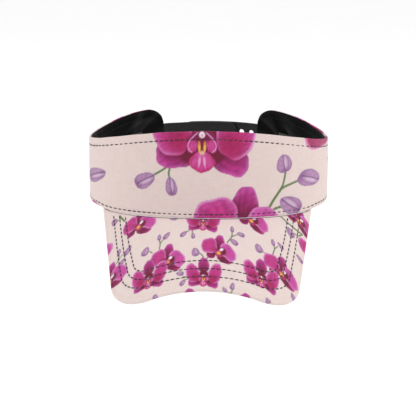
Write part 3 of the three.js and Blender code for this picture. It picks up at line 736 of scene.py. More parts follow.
# Lining: thin black cloth, smooth at the front and creased in the wings
lining = {
    "face": 3.9,            # inner side's distance in from the band's outer face
    "thickness": 0.5,
    "trim": 0.12,           # its edge below the cover's top edge
    "edgeFace": 1.75,       # how far in its very edge sits on the cover's fold
    "hemTrim": 0.7,
    "rows": 72,
    "creases": 64,
    "creaseHeight": 1.5,
    "black": 0.0027,
    # how much lighter the crease ridges are painted, as painted light on them
    "wear": 5,
    "seed": 21,
    "endOver": 0.35,        # how far it goes past the band's ends, and the turn it makes there
    "wrapLength": 2.6,
    "wrapDepth": 2.9,
    "rollPlace": 140,       # middle and run of the stretch where the cover rolls over its edge, and how far
    "rollRun": 45,
    "rollDrop": 1.3,
}


def creases(along, height):
    # long soft folds at random slants: each is a hump across its line and a longer one along it
    draw = np.random.default_rng(lining["seed"])
    total = np.zeros(np.broadcast(along, height).shape)
    for number in range(lining["creases"]):
        side = -1 if number % 2 else 1
        spot = side * draw.uniform(95, bandEnd - 4), draw.uniform(6, 42)
        slant = side * math.radians(draw.uniform(15, 60))
        long, wide = draw.uniform(9, 24), draw.uniform(1.6, 3.4)
        size = draw.uniform(0.35, 1) * draw.choice([1, 1, -0.5])
        du, dv = along - spot[0], height - spot[1]
        run = du * math.cos(slant) + dv * math.sin(slant)
        off = -du * math.sin(slant) + dv * math.cos(slant) + 0.012 * run ** 2
        total = total + size * hump(off, wide) * hump(run, long)
    return total


def liningInset(along, height):
    # inner side's inset: bulges away from the cover, drawn in along the stitch row
    top, hem = topEdge(along), hemEdge(along)
    room = ease((top - 0.4 - height) / 4) * ease((height - hem) / 4)
    row = hump(height - top + bandCover["topRow"], 1.6)
    free = lining["creaseHeight"] * creases(along, height) + 0.15 * grain(along, height, 21, 8)
    roll = (lining["face"] - lining["edgeFace"]) * (1 - ease((top - lining["trim"] - height) / 3.2)) ** 2
    return lining["face"] - roll + free * room * (1 - 0.7 * row)


def makeLining():
    # two skins from the top edge to the hem, wrapped round the band's ends
    c = lining
    last = bandEnd + c["endOver"]
    right = spread([0, 95, bandEnd - 16, last], [95, 200, 40])
    along = np.concatenate([-right[:0:-1], right])[:, None]
    safe = np.clip(along, -bandEnd + 0.02, bandEnd - 0.02)
    # its edge lies a little lower along the right temple, where the cover rolls over it
    top = topEdge(safe) - c["trim"] - c["rollDrop"] * hump(along - c["rollPlace"], c["rollRun"])
    hem = hemEdge(safe) + c["hemTrim"]
    up = 1 - np.linspace(0, 1, c["rows"]) ** 1.15
    heights = hem + (top - hem) * up
    wrap = np.clip((np.abs(along) - last + c["wrapLength"]) / c["wrapLength"], 0, 1)
    wrapIn = c["wrapDepth"] * (1 - np.sqrt(1 - wrap ** 2))
    insets = liningInset(safe, heights) - wrapIn
    angle = angleAt(along)
    share = band["lean"] * frontShare(along)

    def placed(insets, heights):
        part = (heights - hemEdge(safe)) / (topEdge(safe) - hemEdge(safe))
        return planPoint(angle, insets + share * np.clip(part, 0, 1), heights)

    backHeights = hem + 0.2 + (top - hem - 0.4) * np.array([1, 0.97, 0.93, 0.75, 0.5, 0.25, 0])
    backInsets = c["face"] - c["thickness"] - wrapIn - c["edgeFace"] * (1 - ease((top - backHeights) / 2.6))
    outer, inner = placed(insets, heights), placed(backInsets, backHeights)
    points, faces = closedSkin(outer, inner)
    uv = flatPairs((along, heights), (along, backHeights))
    # painted light and shade: paler where the cloth stands up in a crease, darkest between creases
    fold = np.clip(creases(safe, heights), -0.6, 1.4).ravel()
    creaseShading = np.full(len(points), c["black"])
    creaseShading[:fold.size] = c["black"] * (1 + c["wear"] * np.maximum(fold, 0) + 0.5 * np.minimum(fold, 0))
    return makePiece("bandLining", points, faces, uv, np.stack([creaseShading, creaseShading, creaseShading * 1.04], 1), sharp=60)


# Sweatband: a strip of black towelling inside the hem
sweat = {
    "face": 4.1, "back": 5.7, "height": 26, "lift": 0.9, "endMargin": 24, "round": 0.75,
    "plump": 0.25, "uneven": 0.12, "stitchPull": 0.35, "endRound": 1.2,
}


def makeSweatband():
    # a flat bar with round edges, a little fuller between its edges, carried along the band
    c = sweat
    end = bandEnd - c["endMargin"]
    along = np.linspace(-end, end, 620)[:, None]
    low = hemEdge(along) + c["lift"]
    turn = np.linspace(-math.pi / 2, math.pi / 2, 7)
    up = np.concatenate([
        c["height"] - c["round"] + c["round"] * np.cos(turn[:-1]),
        np.linspace(c["height"] - c["round"], c["round"], 40),
        c["round"] - c["round"] * np.cos(turn[::-1][1:]),
    ])
    inward = np.concatenate([
        (1 + np.sin(turn[:-1])) / 2,
        np.ones(40),
        (1 + np.sin(turn[::-1][1:])) / 2,
    ])
    thick = c["back"] - c["face"]
    heights = low + up
    plump = c["plump"] * np.sin(math.pi * up / c["height"]) + c["uneven"] * grain(along, heights, 9, 12)
    close = np.sqrt(1 - np.clip((np.abs(along) - end + c["endRound"]) / c["endRound"], 0, 0.97) ** 2)
    dip = stitchDip(heights - hemEdge(along) - bandCover["hemRow"], along, c["stitchPull"])
    insets = c["face"] + (thick + plump - dip) * inward * (0.25 + 0.75 * close)
    outer = bandPoint(along, insets, heights)
    backHeights = low + c["height"] * np.array([0.96, 0.5, 0.04])
    inner = bandPoint(along, c["face"], backHeights)
    points, faces = closedSkin(outer, inner)
    uv = flatPairs((along, heights), (along, backHeights))
    return makePiece("towellingBand", points, faces, uv)


# Brim outline, half of it: a straight side, a rounded corner, a nearly straight front

def brimOutline():
    # points by length along the outline from the band to the front centre
    start = planPoint(brim["attachAngle"], -brim["seamGap"], 0.0)[:2]
    side = np.array([-math.sin(brim["taper"]), -math.cos(brim["taper"])])
    corner = start + side * (start[1] + brim["frontEdge"]) / math.cos(brim["taper"])
    sideEnd = corner - side * brim["cornerLength"]
    front = np.array([corner[0] - brim["cornerWidth"], -brim["frontEdge"] + brim["bow"]])
    knee = np.array([front[0] / 2, -brim["frontEdge"]])
    middle = np.array([0, -brim["frontEdge"]])
    t = np.linspace(0, 1, 400)[:, None]
    pullA = sideEnd + (corner - sideEnd) * brim["cornerPull"]
    pullB = front + (corner - front) * brim["cornerPull"]
    line = start + (sideEnd - start) * t
    cubic = (1 - t) ** 3 * sideEnd + 3 * (1 - t) ** 2 * t * pullA
    cubic = cubic + 3 * (1 - t) * t ** 2 * pullB + t ** 3 * front
    bowed = (1 - t) ** 2 * front + 2 * (1 - t) * t * knee + t ** 2 * middle
    return np.concatenate([line, cubic[1:], bowed[1:]])


outline = brimOutline()
outlineRun = runAlong(outline)
outlineAim = np.gradient(outline, outlineRun, axis=0)


def outlinePoint(across, inset):
    # outline place for -1 at one end to 1 at the other, moved inwards in plan, and its outward direction
    run = (1 - np.abs(across)) * outlineRun[-1]
    side = np.where(across < 0, -1, 1)
    x, y, aimX, aimY = [np.interp(run, outlineRun, a) for a in (*outline.T, *outlineAim.T)]
    size = np.hypot(aimX, aimY)
    outX, outY = -aimY / size, aimX / size
    return (x - outX * inset) * side, y - outY * inset, outX * side, outY


def brimNormal(x):
    # the top surface's direction
    slope = x / np.sqrt(brimRadius ** 2 - x ** 2)
    return unitLength(np.stack(np.broadcast_arrays(slope, -math.tan(brim["tilt"]), 1.0), axis=-1))


def brimPoint(x, y, depth):
    # point on the brim in plan, sunk below its top surface
    x, y, depth = np.broadcast_arrays(x, y, depth)
    return np.stack([x, y, brimHeight(x, y)], axis=-1) - brimNormal(x) * depth[..., None]


# Rows of stitching that follow the outline
brimRows = {
    "count": 3, "firstFront": 9, "firstSide": 7, "pitchFront": 5.6, "pitchSide": 4, "bandGap": 1.2,
}


def brimRowPlan(number):
    # plan points of one row, close together, where it is clear of the band
    c = brimRows
    across = np.linspace(-1, 1, 1600)
    front = c["firstFront"] + number * c["pitchFront"]
    side = c["firstSide"] + number * c["pitchSide"]
    x, y, _, _ = outlinePoint(across, front + (side - front) * ease(np.abs(across) * 2 - 0.5))
    clear = np.hypot(x / (band["halfWidth"] + c["bandGap"]), y / (band["halfDepth"] + c["bandGap"])) > 1
    return np.stack([x[clear], y[clear]], axis=1)


def brimFlat(x, y):
    # the brim's cloth laid flat: across it round the bend, and down its slope from the band's front
    across = brimRadius * np.arcsin(np.clip(x / brimRadius, -1, 1))
    return across, (y + band["halfDepth"]) / math.cos(brim["tilt"])


def rowDips(x, y, pull):
    # the grooves of all the rows together
    rows = [nearLine(x, y, brimRowPlan(number)) for number in range(brimRows["count"])]
    return sum(stitchDip(distance, place, pull) for distance, place in rows)


def brimSpan(count, edgeInset):
    # stations across: their plan angles, plan points on the seam and at the edge, and directions out there
    across = np.linspace(-1, 1, count)[:, None]
    angle = across * brim["sewnAngle"]
    seamX, seamY, _ = np.moveaxis(planPoint(angle, -brim["seamGap"], 0.0), -1, 0)
    return across, angle, (seamX, seamY), outlinePoint(across, edgeInset)


def between(seam, edge, share):
    # plan points that lie by a share of the way from the seam to the edge
    return [a + (b - a) * share for a, b in zip(seam, edge)]


brimCover = {
    "roll": 1.0,            # radius of the roll over the board's edge
    "lip": 1.7,             # cloth carried round to the underside
    "cloth": 0.6,
    "stations": 480,
    "rows": 150,
    "seamInset": 2.6,       # pressed crease inside the edge
    "seamDepth": 0.32,
    "bandSink": 0.35,       # how far the cloth is drawn in beside the band
    "uneven": 0.12,
    "stitchPull": 0.32,
    "flangeDrop": 0.4,      # seam allowance tucked under the band: its depth and its way in
    "flangeIn": [2.6, 1.7, 0.8, 0.1],
}


def makeBrimTopCover():
    # flange under the band, top face, roll over the edge, lip below; a thin cloth behind it all
    c = brimCover
    roll, depth = c["roll"], brim["depth"]
    across, angle, seam, (edgeX, edgeY, outX, outY) = brimSpan(c["stations"], roll)
    x, y = between(seam, (edgeX, edgeY), np.linspace(0, 1, c["rows"]))
    fromBand = np.hypot(x - seam[0], y - seam[1])
    toEdge = np.hypot(x - edgeX, y - edgeY) + roll
    sink = c["bandSink"] * np.exp(-fromBand / 1.5) + c["seamDepth"] * hump(toEdge - c["seamInset"], 0.55)
    sink = sink - c["uneven"] * grain(x, y, 31, 15) * ease(fromBand / 8) * ease((toEdge - 3) / 6)
    top = brimPoint(x, y, sink + rowDips(x, y, c["stitchPull"]))
    # flange: level, tucked under the band
    flangeTop = brimHeight(*seam) - c["flangeDrop"]
    flange = planPoint(angle, np.array(c["flangeIn"]), flangeTop)
    # roll, wall and lip, by inset from the outline and depth
    turns = np.linspace(0, math.pi / 2, 7)[1:]
    edgeInset = np.concatenate([roll * (1 - np.sin(turns)), [0, 0], roll * (1 - np.cos(turns)), [c["lip"]]])
    walls = roll + (depth - 2 * roll) * np.array([1 / 3, 2 / 3])
    edgeDepth = np.concatenate([
        roll * (1 - np.cos(turns)), walls, depth - roll * (1 - np.sin(turns)), [depth],
    ])
    rimX, rimY, _, _ = outlinePoint(across, edgeInset)
    edge = brimPoint(rimX, rimY, edgeDepth)
    outer = np.concatenate([flange, top, edge], axis=1)
    # inner side
    innerFlange = planPoint(angle, np.array([2.6, 0.6]), flangeTop - 0.45)
    innerTop = brimPoint(*between(seam, (edgeX, edgeY), np.linspace(0, 1, 6)), c["cloth"] + 0.3)
    lipX, lipY, _, _ = outlinePoint(across, np.array([c["cloth"], c["lip"]]))
    innerLip = brimPoint(lipX, lipY, depth - c["cloth"])
    inner = np.concatenate([innerFlange, innerTop, innerLip], axis=1)
    points, faces = closedSkin(outer, inner)
    # the printed place keeps counting round the edge
    run = runAlong(np.stack([edgeInset, edgeDepth], axis=1)) + roll * 0.25
    flatX = np.concatenate([flange[..., 0], x, edgeX + outX * run], axis=1)
    flatY = np.concatenate([flange[..., 1], y, edgeY + outY * run], axis=1)
    u, v = brimFlat(flatX, flatY)
    uv = flatPairs((u, v), (inner[..., 0], inner[..., 1]))
    colour = printedPoints(len(points), u, v, brimPrint)
    return makePiece("brimTopCover", points, faces, uv, colour)


brimUnder = {
    "edgeInset": 1.95, "thickness": 0.5, "stations": 300, "rows": 96, "stitchPull": 0.28,
    "edgeLift": 0.4, "uneven": 0.12,
    "flangeIn": [1.7, 1.1, 0.5, 0.05], "flangeDown": [0.95, 1.2, 2.0, 3.1],
    "printShift": (17, -6),     # the print below is cut from another place in the same cloth
}


def makeBrimUnderCover():
    # lower face from the band seam to the edge seam, with a thin cloth above it
    c = brimUnder
    depth = brim["depth"]
    _, angle, seam, (edgeX, edgeY, _, _) = brimSpan(c["stations"], c["edgeInset"])
    deep = np.linspace(0, 1, c["rows"])
    x, y = between(seam, (edgeX, edgeY), deep)
    toEdge = np.hypot(x - edgeX, y - edgeY)
    lift = c["edgeLift"] * hump(toEdge, 0.7)
    lift = lift - c["uneven"] * grain(x, y, 34, 16) * ease(toEdge / 6) * ease(deep * 5)
    face = brimPoint(x, y, depth - lift - rowDips(x, y, c["stitchPull"]))
    # the seam allowance turns up into the band
    rootHeight = brimHeight(*seam)
    flange = planPoint(angle, np.array(c["flangeIn"]), rootHeight - np.array(c["flangeDown"]))
    outer = np.concatenate([flange, face], axis=1)
    innerFlange = planPoint(angle, np.array([1.7, 0.3]), rootHeight - np.array([0.9, 2.0]))
    back = brimPoint(*between(seam, (edgeX, edgeY), np.linspace(0.01, 1, 6)), depth - c["thickness"] - 0.15)
    inner = np.concatenate([innerFlange, back], axis=1)
    points, faces = closedSkin(outer, inner)
    flatX = np.concatenate([flange[..., 0], x], axis=1)
    flatY = np.concatenate([flange[..., 1], y], axis=1)
    u, v = brimFlat(flatX, flatY)
    uv = flatPairs((u, v), (inner[..., 0], inner[..., 1]))
    shiftU, shiftV = c["printShift"]
    colour = printedPoints(len(points), shiftU - u, v + shiftV, brimPrint)
    return makePiece("brimUnderCover", points, faces, uv, colour)


# Straps: moulded strips with a raised edge, one with holes and one with domed pegs
strap = {
    "half": (strapHigh[2] - strapLow[2]) / 2,
    "middle": (strapHigh[2] + strapLow[2]) / 2,
    "thickness": 1.2,
    "outerFace": 0.9,       # outer strap's face, in from the band's outer face
    "innerFace": 2.7,
    "rimWidth": 1.1,
    "rimHeight": 0.3,
    "corner": 6,
    "pitch": 8.8,
    "count": 7,
    "holeRadius": 2.2,
    "pegRadius": 1.6,
    "pegHeight": 2.1,
    "stepLength": 16,       # length over which the peg strap steps to the inner side, and where that starts
    "stepStart": 40.6,
    "firstHole": 36.2,      # places are distances from the back centre
    "firstPeg": 18.6,
    "holeTip": -22.6,
    "pegTip": 23.1,
    "root": 53.5,
    "bendStart": 41.4,
    "bendEnd": 34.6,
    "core": 6.2,            # half height of the square tile round each hole
}


def strapTile(centre, inner, rings, filled):
    # rings that go from a square tile to a circle; the circle stays open or closes to its middle
    half, core = strap["pitch"] / 2, strap["core"]
    wide = np.linspace(-half, half, 9)
    tall = np.linspace(-core, core, 13)
    square = flatPairs((wide[:-1], -core), (half, tall[:-1]), (wide[:0:-1], core), (-half, tall[:0:-1]))
    turn = np.arctan2(square[:, 1], square[:, 0])
    circle = np.stack([np.cos(turn), np.sin(turn)], 1)
    share = np.linspace(0, 1, rings)[:, None, None] ** 0.7
    layers = square + (circle * inner - square) * share
    if filled:
        radii = inner * np.array([0.94, 0.86, 0.72, 0.5, 0.25])[:, None, None]
        layers = np.concatenate([layers, circle * radii])
    m, n = layers.shape[:2]
    number = np.arange(m * n).reshape(m, n)
    nextOne = np.roll(number, -1, axis=1)
    quads = np.stack([number[:-1], nextOne[:-1], nextOne[1:], number[1:]], -1).reshape(-1, 4)
    points = layers.reshape(-1, 2)
    triangles = np.zeros((0, 3), int)
    if filled:
        points = np.concatenate([points, [[0, 0]]])
        triangles = np.stack([number[-1], nextOne[-1], np.full(n, m * n)], 1)
    return points + [centre, 0], quads, triangles


def joinFlat(parts):
    # joins flat patches and welds the points that they share
    points = np.concatenate([p for p, _, _ in parts])
    starts = np.cumsum([0] + [len(p) for p, _, _ in parts[:-1]])
    quads = np.concatenate([q + s for (_, q, _), s in zip(parts, starts)])
    triangles = np.concatenate([t + s for (_, _, t), s in zip(parts, starts)])
    _, first, index = np.unique(np.round(points, 3), axis=0, return_index=True, return_inverse=True)
    index = index.ravel()
    return points[first], index[quads], index[triangles]


def patch(columns, rows):
    # flat grid through the given places and heights
    return flatPairs((columns[:, None], rows)), gridFaces(len(columns), len(rows)), np.zeros((0, 3), int)


def facingUp(points, faces):
    # turns round the flat faces that go clockwise
    a, b, d = (points[faces[:, k]] for k in (0, 1, 2))
    clockwise = (b - a)[:, 0] * (d - a)[:, 1] < (b - a)[:, 1] * (d - a)[:, 0]
    return np.where(clockwise[:, None], faces[:, ::-1], faces)


def strapSheet(side, centres, tip, filled):
    # flat strap, in places and heights from its middle line
    c = strap
    half, core = c["pitch"] / 2, c["core"]
    radius = c["pegRadius"] + 0.12 if filled else c["holeRadius"]
    tall = np.linspace(-core, core, 13)
    rim = np.array([core, 6.6, 7.0, 7.5, c["half"]])
    low, high = centres.min() - half, centres.max() + half
    tileColumns = np.linspace(low, high, 8 * len(centres) + 1)
    rootEdge, tipEdge = (high, low) if side > 0 else (low, high)
    rootColumns = np.linspace(side * c["root"], rootEdge, 17)
    into = min(0.999, (side * (tip - tipEdge) + c["corner"]) / c["corner"])
    turn = np.linspace(np.arcsin(into), math.pi / 2, 7)
    tipColumns = tip + side * c["corner"] * (1 - np.sin(turn))
    tipColumns[0] = tipEdge
    parts = [strapTile(centre, radius, 7, filled) for centre in centres]
    parts += [patch(columns, tall) for columns in (rootColumns, tipColumns)]
    for columns in (rootColumns, tileColumns, tipColumns):
        parts += [patch(columns, rim), patch(columns, -rim[::-1])]
    points, quads, triangles = joinFlat(parts)
    return points, facingUp(points, quads), facingUp(points, triangles)


def rimEdges(quads, triangles):
    # edges used by only one face, in that face's direction
    edges = flatPairs(*((faces, np.roll(faces, -1, axis=1)) for faces in (quads, triangles)))
    _, index, uses = np.unique(np.sort(edges, axis=1), axis=0, return_index=True, return_counts=True)
    return edges[index[uses == 1]]


def backPoint(place, inset, height):
    # place is the distance from the back centre, positive towards +X
    return planPoint(angleAt(halfLength - place), inset, height)


def makeStrap(name, side, first, tip, filled):
    # flat strap bent to the ellipse, given its thickness, raised edge and pegs, its edges then rounded
    c = strap
    centres = first - c["pitch"] * np.arange(c["count"])
    points, quads, triangles = strapSheet(side, centres, tip, filled)
    place, height = points[:, 0], points[:, 1].copy()
    into = np.clip((c["corner"] - side * (place - tip)) / c["corner"], 0, 1)
    halfHeight = c["half"] - c["corner"] * (1 - np.sqrt(1 - into ** 2))
    # the corners' rounding leaves the last hole or peg as it is
    nearTip = centres[np.abs(centres - tip).argmin()]
    guard = np.maximum(ease((np.abs(height) - 2.4) / 3), ease((np.abs(place - nearTip) - 2.6) / 1.6))
    height = height * (1 - (1 - halfHeight / c["half"]) * guard)
    raised = c["rimHeight"] * (1 - ease((halfHeight - np.abs(height) - c["rimWidth"]) / 0.4 + 1))
    face = np.full(len(place), c["outerFace"])
    if filled:
        step = ease((place - side * c["stepStart"]) / (-side * c["stepLength"]))
        face = c["outerFace"] + (c["innerFace"] - c["outerFace"]) * step
        away = np.hypot(place[:, None] - centres, height[:, None]).min(axis=1) / c["pegRadius"]
        dome = np.sqrt(np.clip(1 - (away / 1.07) ** 6, 0, 1)) * (0.9 + 0.1 * np.cos(1.5 * away))
        raised = raised + c["pegHeight"] * dome * (away < 1.02)
    front = backPoint(place, face - raised, c["middle"] + height)
    back = backPoint(place, face + c["thickness"], c["middle"] + height)
    n = len(points)
    edges = rimEdges(quads, triangles)
    walls = np.stack([edges[:, 1], edges[:, 0], edges[:, 0] + n, edges[:, 1] + n], 1)
    faces = [
        np.concatenate([quads, quads[:, ::-1] + n, walls]),
        np.concatenate([triangles, triangles[:, ::-1] + n]),
    ]
    uv = flatPairs((place, height), (place, height))
    piece = makePiece(name, np.concatenate([front, back]), faces, uv, sharp=40)
    bevel = piece.modifiers.new("roundedEdges", "BEVEL")
    bevel.width = 0.22 * metre
    bevel.segments = 2
    bevel.limit_method = "ANGLE"
    bevel.angle_limit = math.radians(55)
    graph = bpy.context.evaluated_depsgraph_get()
    final = bpy.data.meshes.new_from_object(piece.evaluated_get(graph))
    piece.modifiers.clear()
    piece.data = final
    final.set_sharp_from_angle(angle=math.radians(45))
    return piece


# Thread: each stitch is a short twisted strand that dives into the cloth at both ends
thread = {
    "length": 3.0,
    "pitch": bandCover["stitchPitch"],
    "width": 0.8,
    "thickness": 0.36,
    "rise": 0.1,            # its middle above the cloth, its ends below it
    "sink": 0.14,
    "sides": 6,
    "leastFacing": 0.6,     # a stitch is no longer than its own length over this
    "charcoal": 0.045,      # outside rows are charcoal, the rows on the black inside are black
    "black": 0.004,
}


def stitchRow(name, path, normals, shade, longer=1):
    # strands set along a path: an ellipse across, its size closing at the ends, its middle arched
    c = thread
    run = np.concatenate([[0], np.cumsum(np.linalg.norm(np.diff(path, axis=0), axis=1) / longer)])
    count = int(run[-1] // c["pitch"])
    starts = (run[-1] - count * c["pitch"] + c["pitch"] - c["length"]) / 2 + c["pitch"] * np.arange(count)
    t = np.array([0, 0.04, 0.16, 0.38, 0.62, 0.84, 0.96, 1])
    where = starts[:, None] + t * c["length"]

    def along(values):
        return np.stack([np.interp(where, run, values[:, k]) for k in range(3)], -1)

    centre, normal = along(path), along(normals)
    aim = unitLength(along(np.gradient(path, run, axis=0)))
    normal = unitLength(normal)
    aside = np.cross(aim, normal)
    arch = (c["rise"] + c["sink"]) * (1 - (2 * t - 1) ** 4) - c["sink"]
    size = np.sqrt(np.clip(1 - (2 * t - 1) ** 4, 0, 1))[1:-1, None, None]
    sides = c["sides"]
    turn = np.arange(sides) * 2 * math.pi / sides
    middle = centre + normal * arch[:, None]
    ring = middle[:, 1:-1, None, :] + size * (
        aside[:, 1:-1, None, :] * (np.cos(turn) * c["width"] / 2)[:, None]
        + normal[:, 1:-1, None, :] * (np.sin(turn) * c["thickness"] / 2)[:, None]
    )
    rings = len(t) - 2
    points = np.concatenate([ring.reshape(count, -1, 3), middle[:, :1], middle[:, -1:]], axis=1)
    number = np.arange(rings * sides).reshape(rings, sides)
    after = np.roll(number, -1, axis=1)
    quads = np.stack([number[:-1], after[:-1], after[1:], number[1:]], -1).reshape(-1, 4)
    caps = np.concatenate([
        np.stack([after[0], number[0], np.full(sides, rings * sides)], 1),
        np.stack([number[-1], after[-1], np.full(sides, rings * sides + 1)], 1),
    ])
    each = points.shape[1]
    offsets = (np.arange(count) * each)[:, None, None]
    uv = flatPairs((t[1:-1, None] * c["length"], turn * 0.3), (np.array([0, c["length"]]), 0))
    faces = [(quads + offsets).reshape(-1, 4), (caps + offsets).reshape(-1, 3)]
    colour = np.full((count * each, 3), shade)
    return makePiece(name, points.reshape(-1, 3), faces, np.tile(uv, (count, 1)), colour, sharp=80)


def bandRowPath(end, inset, heightAt, side):
    # path and direction of a row along the band; side 1 is outside, -1 inside
    along = np.linspace(-end, end, 900)
    outX, outY = outwardAt(angleAt(along))
    normals = np.stack([outX * side, outY * side, 0 * outX], 1)
    height = heightAt(along)
    # stitches are longer where the band turns away from the front, so that their gaps show from there
    longer = towardsFront(along, thread["leastFacing"])
    return bandPoint(along, inset(along, height), height), normals, longer[1:]


def makeThreads():
    # every row, with the CAD piece that it stands for
    def topRow(along):
        return topEdge(along) - bandCover["topRow"]

    def hemRow(along):
        return hemEdge(along) + bandCover["hemRow"]

    def onCover(along, height):
        return 0.2

    def onSweatband(along, height):
        return sweat["back"]

    rowEnd = bandCover["rowEnd"]
    sweatEnd = bandEnd - sweat["endMargin"] - 2
    rows = {
        "top_row_needle_thread": bandRowPath(rowEnd, onCover, topRow, 1),
        "top_row_bobbin_thread": bandRowPath(rowEnd, liningInset, topRow, -1),
        "hem_row_needle_thread": bandRowPath(rowEnd, onCover, hemRow, 1),
        "hem_row_bobbin_thread": bandRowPath(sweatEnd, onSweatband, hemRow, -1),
    }
    for number in range(brimRows["count"]):
        x, y = brimRowPlan(number).T
        normals = brimNormal(x)
        for part, depth, side in (("needle", 0.12, 1), ("bobbin", brim["depth"] - 0.12, -1)):
            rows[f"brim_row_{number + 1}_{part}_thread"] = brimPoint(x, y, depth), normals * side, 1
    for part, side in (("hole", 1), ("peg", -1)):
        up = np.linspace(strapLow[2] + 0.4, strapHigh[2] - 0.4, 60)
        along = np.full(60, side * (bandEnd - 5.0))
        outX, outY = outwardAt(angleAt(along))
        rows[f"{part}_strap_tack_thread"] = bandPoint(along, 0.05, up), np.stack([outX, outY, 0 * up], 1), 1
    made = []
    for node, (path, normals, longer) in rows.items():
        words = node.split("_")
        name = words[0] + "".join(word.capitalize() for word in words[1:])
        inside = node in ("top_row_bobbin_thread", "hem_row_bobbin_thread")
        piece = stitchRow(name, path, normals, thread["black"] if inside else thread["charcoal"], longer)
        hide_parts(node)
        made.append(piece)
    return made


# Materials

socketLabels = {
    "roughness": "Roughness", "specular": "Specular IOR Level",
    "sheenWeight": "Sheen Weight", "sheenRoughness": "Sheen Roughness",
}


def newMaterial(name, **sockets):
    # material with a principled shader whose constant values are set on its own sockets
    material = bpy.data.materials.new(name)
    material.use_nodes = True
    shader = material.node_tree.nodes["Principled BSDF"]
    for key, value in sockets.items():
        shader.inputs[socketLabels[key]].default_value = value
    return material, material.node_tree, shader


def addNode(tree, kind, inputs=(), **settings):
    # node with its settings, and its inputs given as values or as another node's output
    made = tree.nodes.new(kind)
    for key, value in settings.items():
        setattr(made, key, value)
    for key, value in dict(inputs).items():
        if isinstance(value, bpy.types.NodeSocket):
            tree.links.new(value, made.inputs[key])
        else:
            made.inputs[key].default_value = value
    return made


def maths(tree, operation, first, second=0.0):
    return addNode(tree, "ShaderNodeMath", {0: first, 1: second}, operation=operation).outputs[0]


def clothPlace(tree):
    # place on the cloth laid flat, in metres
    return addNode(tree, "ShaderNodeUVMap", uv_map="cloth").outputs[0]


def solidPlace(tree):
    return addNode(tree, "ShaderNodeTexCoord").outputs["Object"]


def printColour(tree):
    return addNode(tree, "ShaderNodeAttribute", attribute_name="print").outputs["Color"]


def mapped(tree, vector, **changes):
    # a place stretched or turned
    inputs = {key.capitalize(): value for key, value in changes.items()}
    return addNode(tree, "ShaderNodeMapping", {"Vector": vector, **inputs}).outputs[0]


def noise(tree, vector, scale, detail=3.0, roughness=0.55):
    inputs = {"Vector": vector, "Scale": scale, "Detail": detail, "Roughness": roughness}
    return addNode(tree, "ShaderNodeTexNoise", inputs).outputs["Fac"]


def plainWeave(tree, vector, pitch):
    # one over, one under: the crown of the warp thread or of the weft thread by turns
    scaled = addNode(tree, "ShaderNodeVectorMath", {0: vector, 3: 1 / pitch}, operation="SCALE").outputs[0]
    apart = addNode(tree, "ShaderNodeSeparateXYZ", {0: scaled})
    warp, weft = [
        maths(tree, "ABSOLUTE", maths(tree, "SINE", maths(tree, "MULTIPLY", apart.outputs[k], math.pi)))
        for k in (0, 1)
    ]
    checker = addNode(tree, "ShaderNodeTexChecker", {"Vector": scaled, "Scale": 1.0}).outputs["Fac"]
    return addNode(tree, "ShaderNodeMix", {0: checker, 2: warp, 3: weft}, data_type="FLOAT").outputs[0]


def bumped(tree, shader, height, strength, distance):
    made = addNode(tree, "ShaderNodeBump", {"Height": height, "Strength": strength, "Distance": distance})
    tree.links.new(made.outputs["Normal"], shader.inputs["Normal"])


def ranged(tree, value, low, high):
    # 0 to 1 stretched to a range
    return addNode(tree, "ShaderNodeMapRange", {"Value": value, "To Min": low, "To Max": high}).outputs[0]


def tinted(tree, colour, factor):
    # colour made lighter or darker by a factor
    return addNode(tree, "ShaderNodeVectorMath", {0: colour, 3: factor}, operation="SCALE").outputs[0]


def rampedBase(tree, shader, factor, low, high):
    # the base colour goes from one colour to the other as the factor goes from 0 to 1
    ramp = addNode(tree, "ShaderNodeValToRGB", {0: factor})
    for element, colour in zip(ramp.color_ramp.elements, (low, high)):
        element.color = (*colour, 1)
    tree.links.new(ramp.outputs[0], shader.inputs["Base Color"])


cloth = {
    "weavePitch": 0.0006, "bumpStrength": 0.35, "bumpDistance": 0.00008, "mottleSize": 160,
}


def printedCloth():
    # woven polyester: dye colour, a painted highlight on the threads' crowns, soft blotches
    material, tree, shader = newMaterial(
        "printedCloth", roughness=0.82, specular=0.25, sheenWeight=0.18, sheenRoughness=0.5)
    uv = clothPlace(tree)
    dyed = printColour(tree)
    weave = plainWeave(tree, uv, cloth["weavePitch"])
    slub = noise(tree, mapped(tree, uv, scale=(90, 1400, 1)), 1.0)
    blotch = noise(tree, uv, cloth["mottleSize"], 4.0)
    pick = noise(tree, mapped(tree, uv, scale=(1100, 120, 1)), 1.0)
    # painted highlight on the weave's crowns, with random slub, pick and blotch tone
    shade = maths(tree, "ADD", ranged(tree, weave, 0.92, 1.02), ranged(tree, slub, -0.09, 0.09))
    shade = maths(tree, "ADD", shade, ranged(tree, pick, -0.07, 0.07))
    shade = maths(tree, "MULTIPLY", shade, ranged(tree, blotch, 0.95, 1.05))
    tree.links.new(tinted(tree, dyed, shade), shader.inputs["Base Color"])
    bumped(tree, shader, maths(tree, "ADD", weave, maths(tree, "MULTIPLY", slub, 0.6)),
           cloth["bumpStrength"], cloth["bumpDistance"])
    return material


def blackLining():
    # fine black twill with slanted ribs and a faint sheen
    material, tree, shader = newMaterial(
        "blackLining", roughness=0.6, specular=0.04, sheenWeight=0.005, sheenRoughness=0.4)
    uv = clothPlace(tree)
    turned = mapped(tree, uv, rotation=(0, 0, math.radians(45)))
    apart = addNode(tree, "ShaderNodeSeparateXYZ", {0: turned})
    rib = maths(tree, "SINE", maths(tree, "MULTIPLY", apart.outputs[0], 2 * math.pi / 0.0007))
    blotch = noise(tree, uv, 90, 3.0)
    fuzz = noise(tree, uv, 2600, 2.0)
    # the base colour is the lining's painted crease light and shade, read from its points
    creaseShading = printColour(tree)
    shade = maths(tree, "MULTIPLY", ranged(tree, rib, 0.8, 1.2), ranged(tree, blotch, 0.6, 1.4))
    tree.links.new(tinted(tree, creaseShading, shade), shader.inputs["Base Color"])
    bumped(tree, shader, maths(tree, "ADD", maths(tree, "MULTIPLY", rib, 0.35), fuzz), 0.3, 0.00008)
    return material


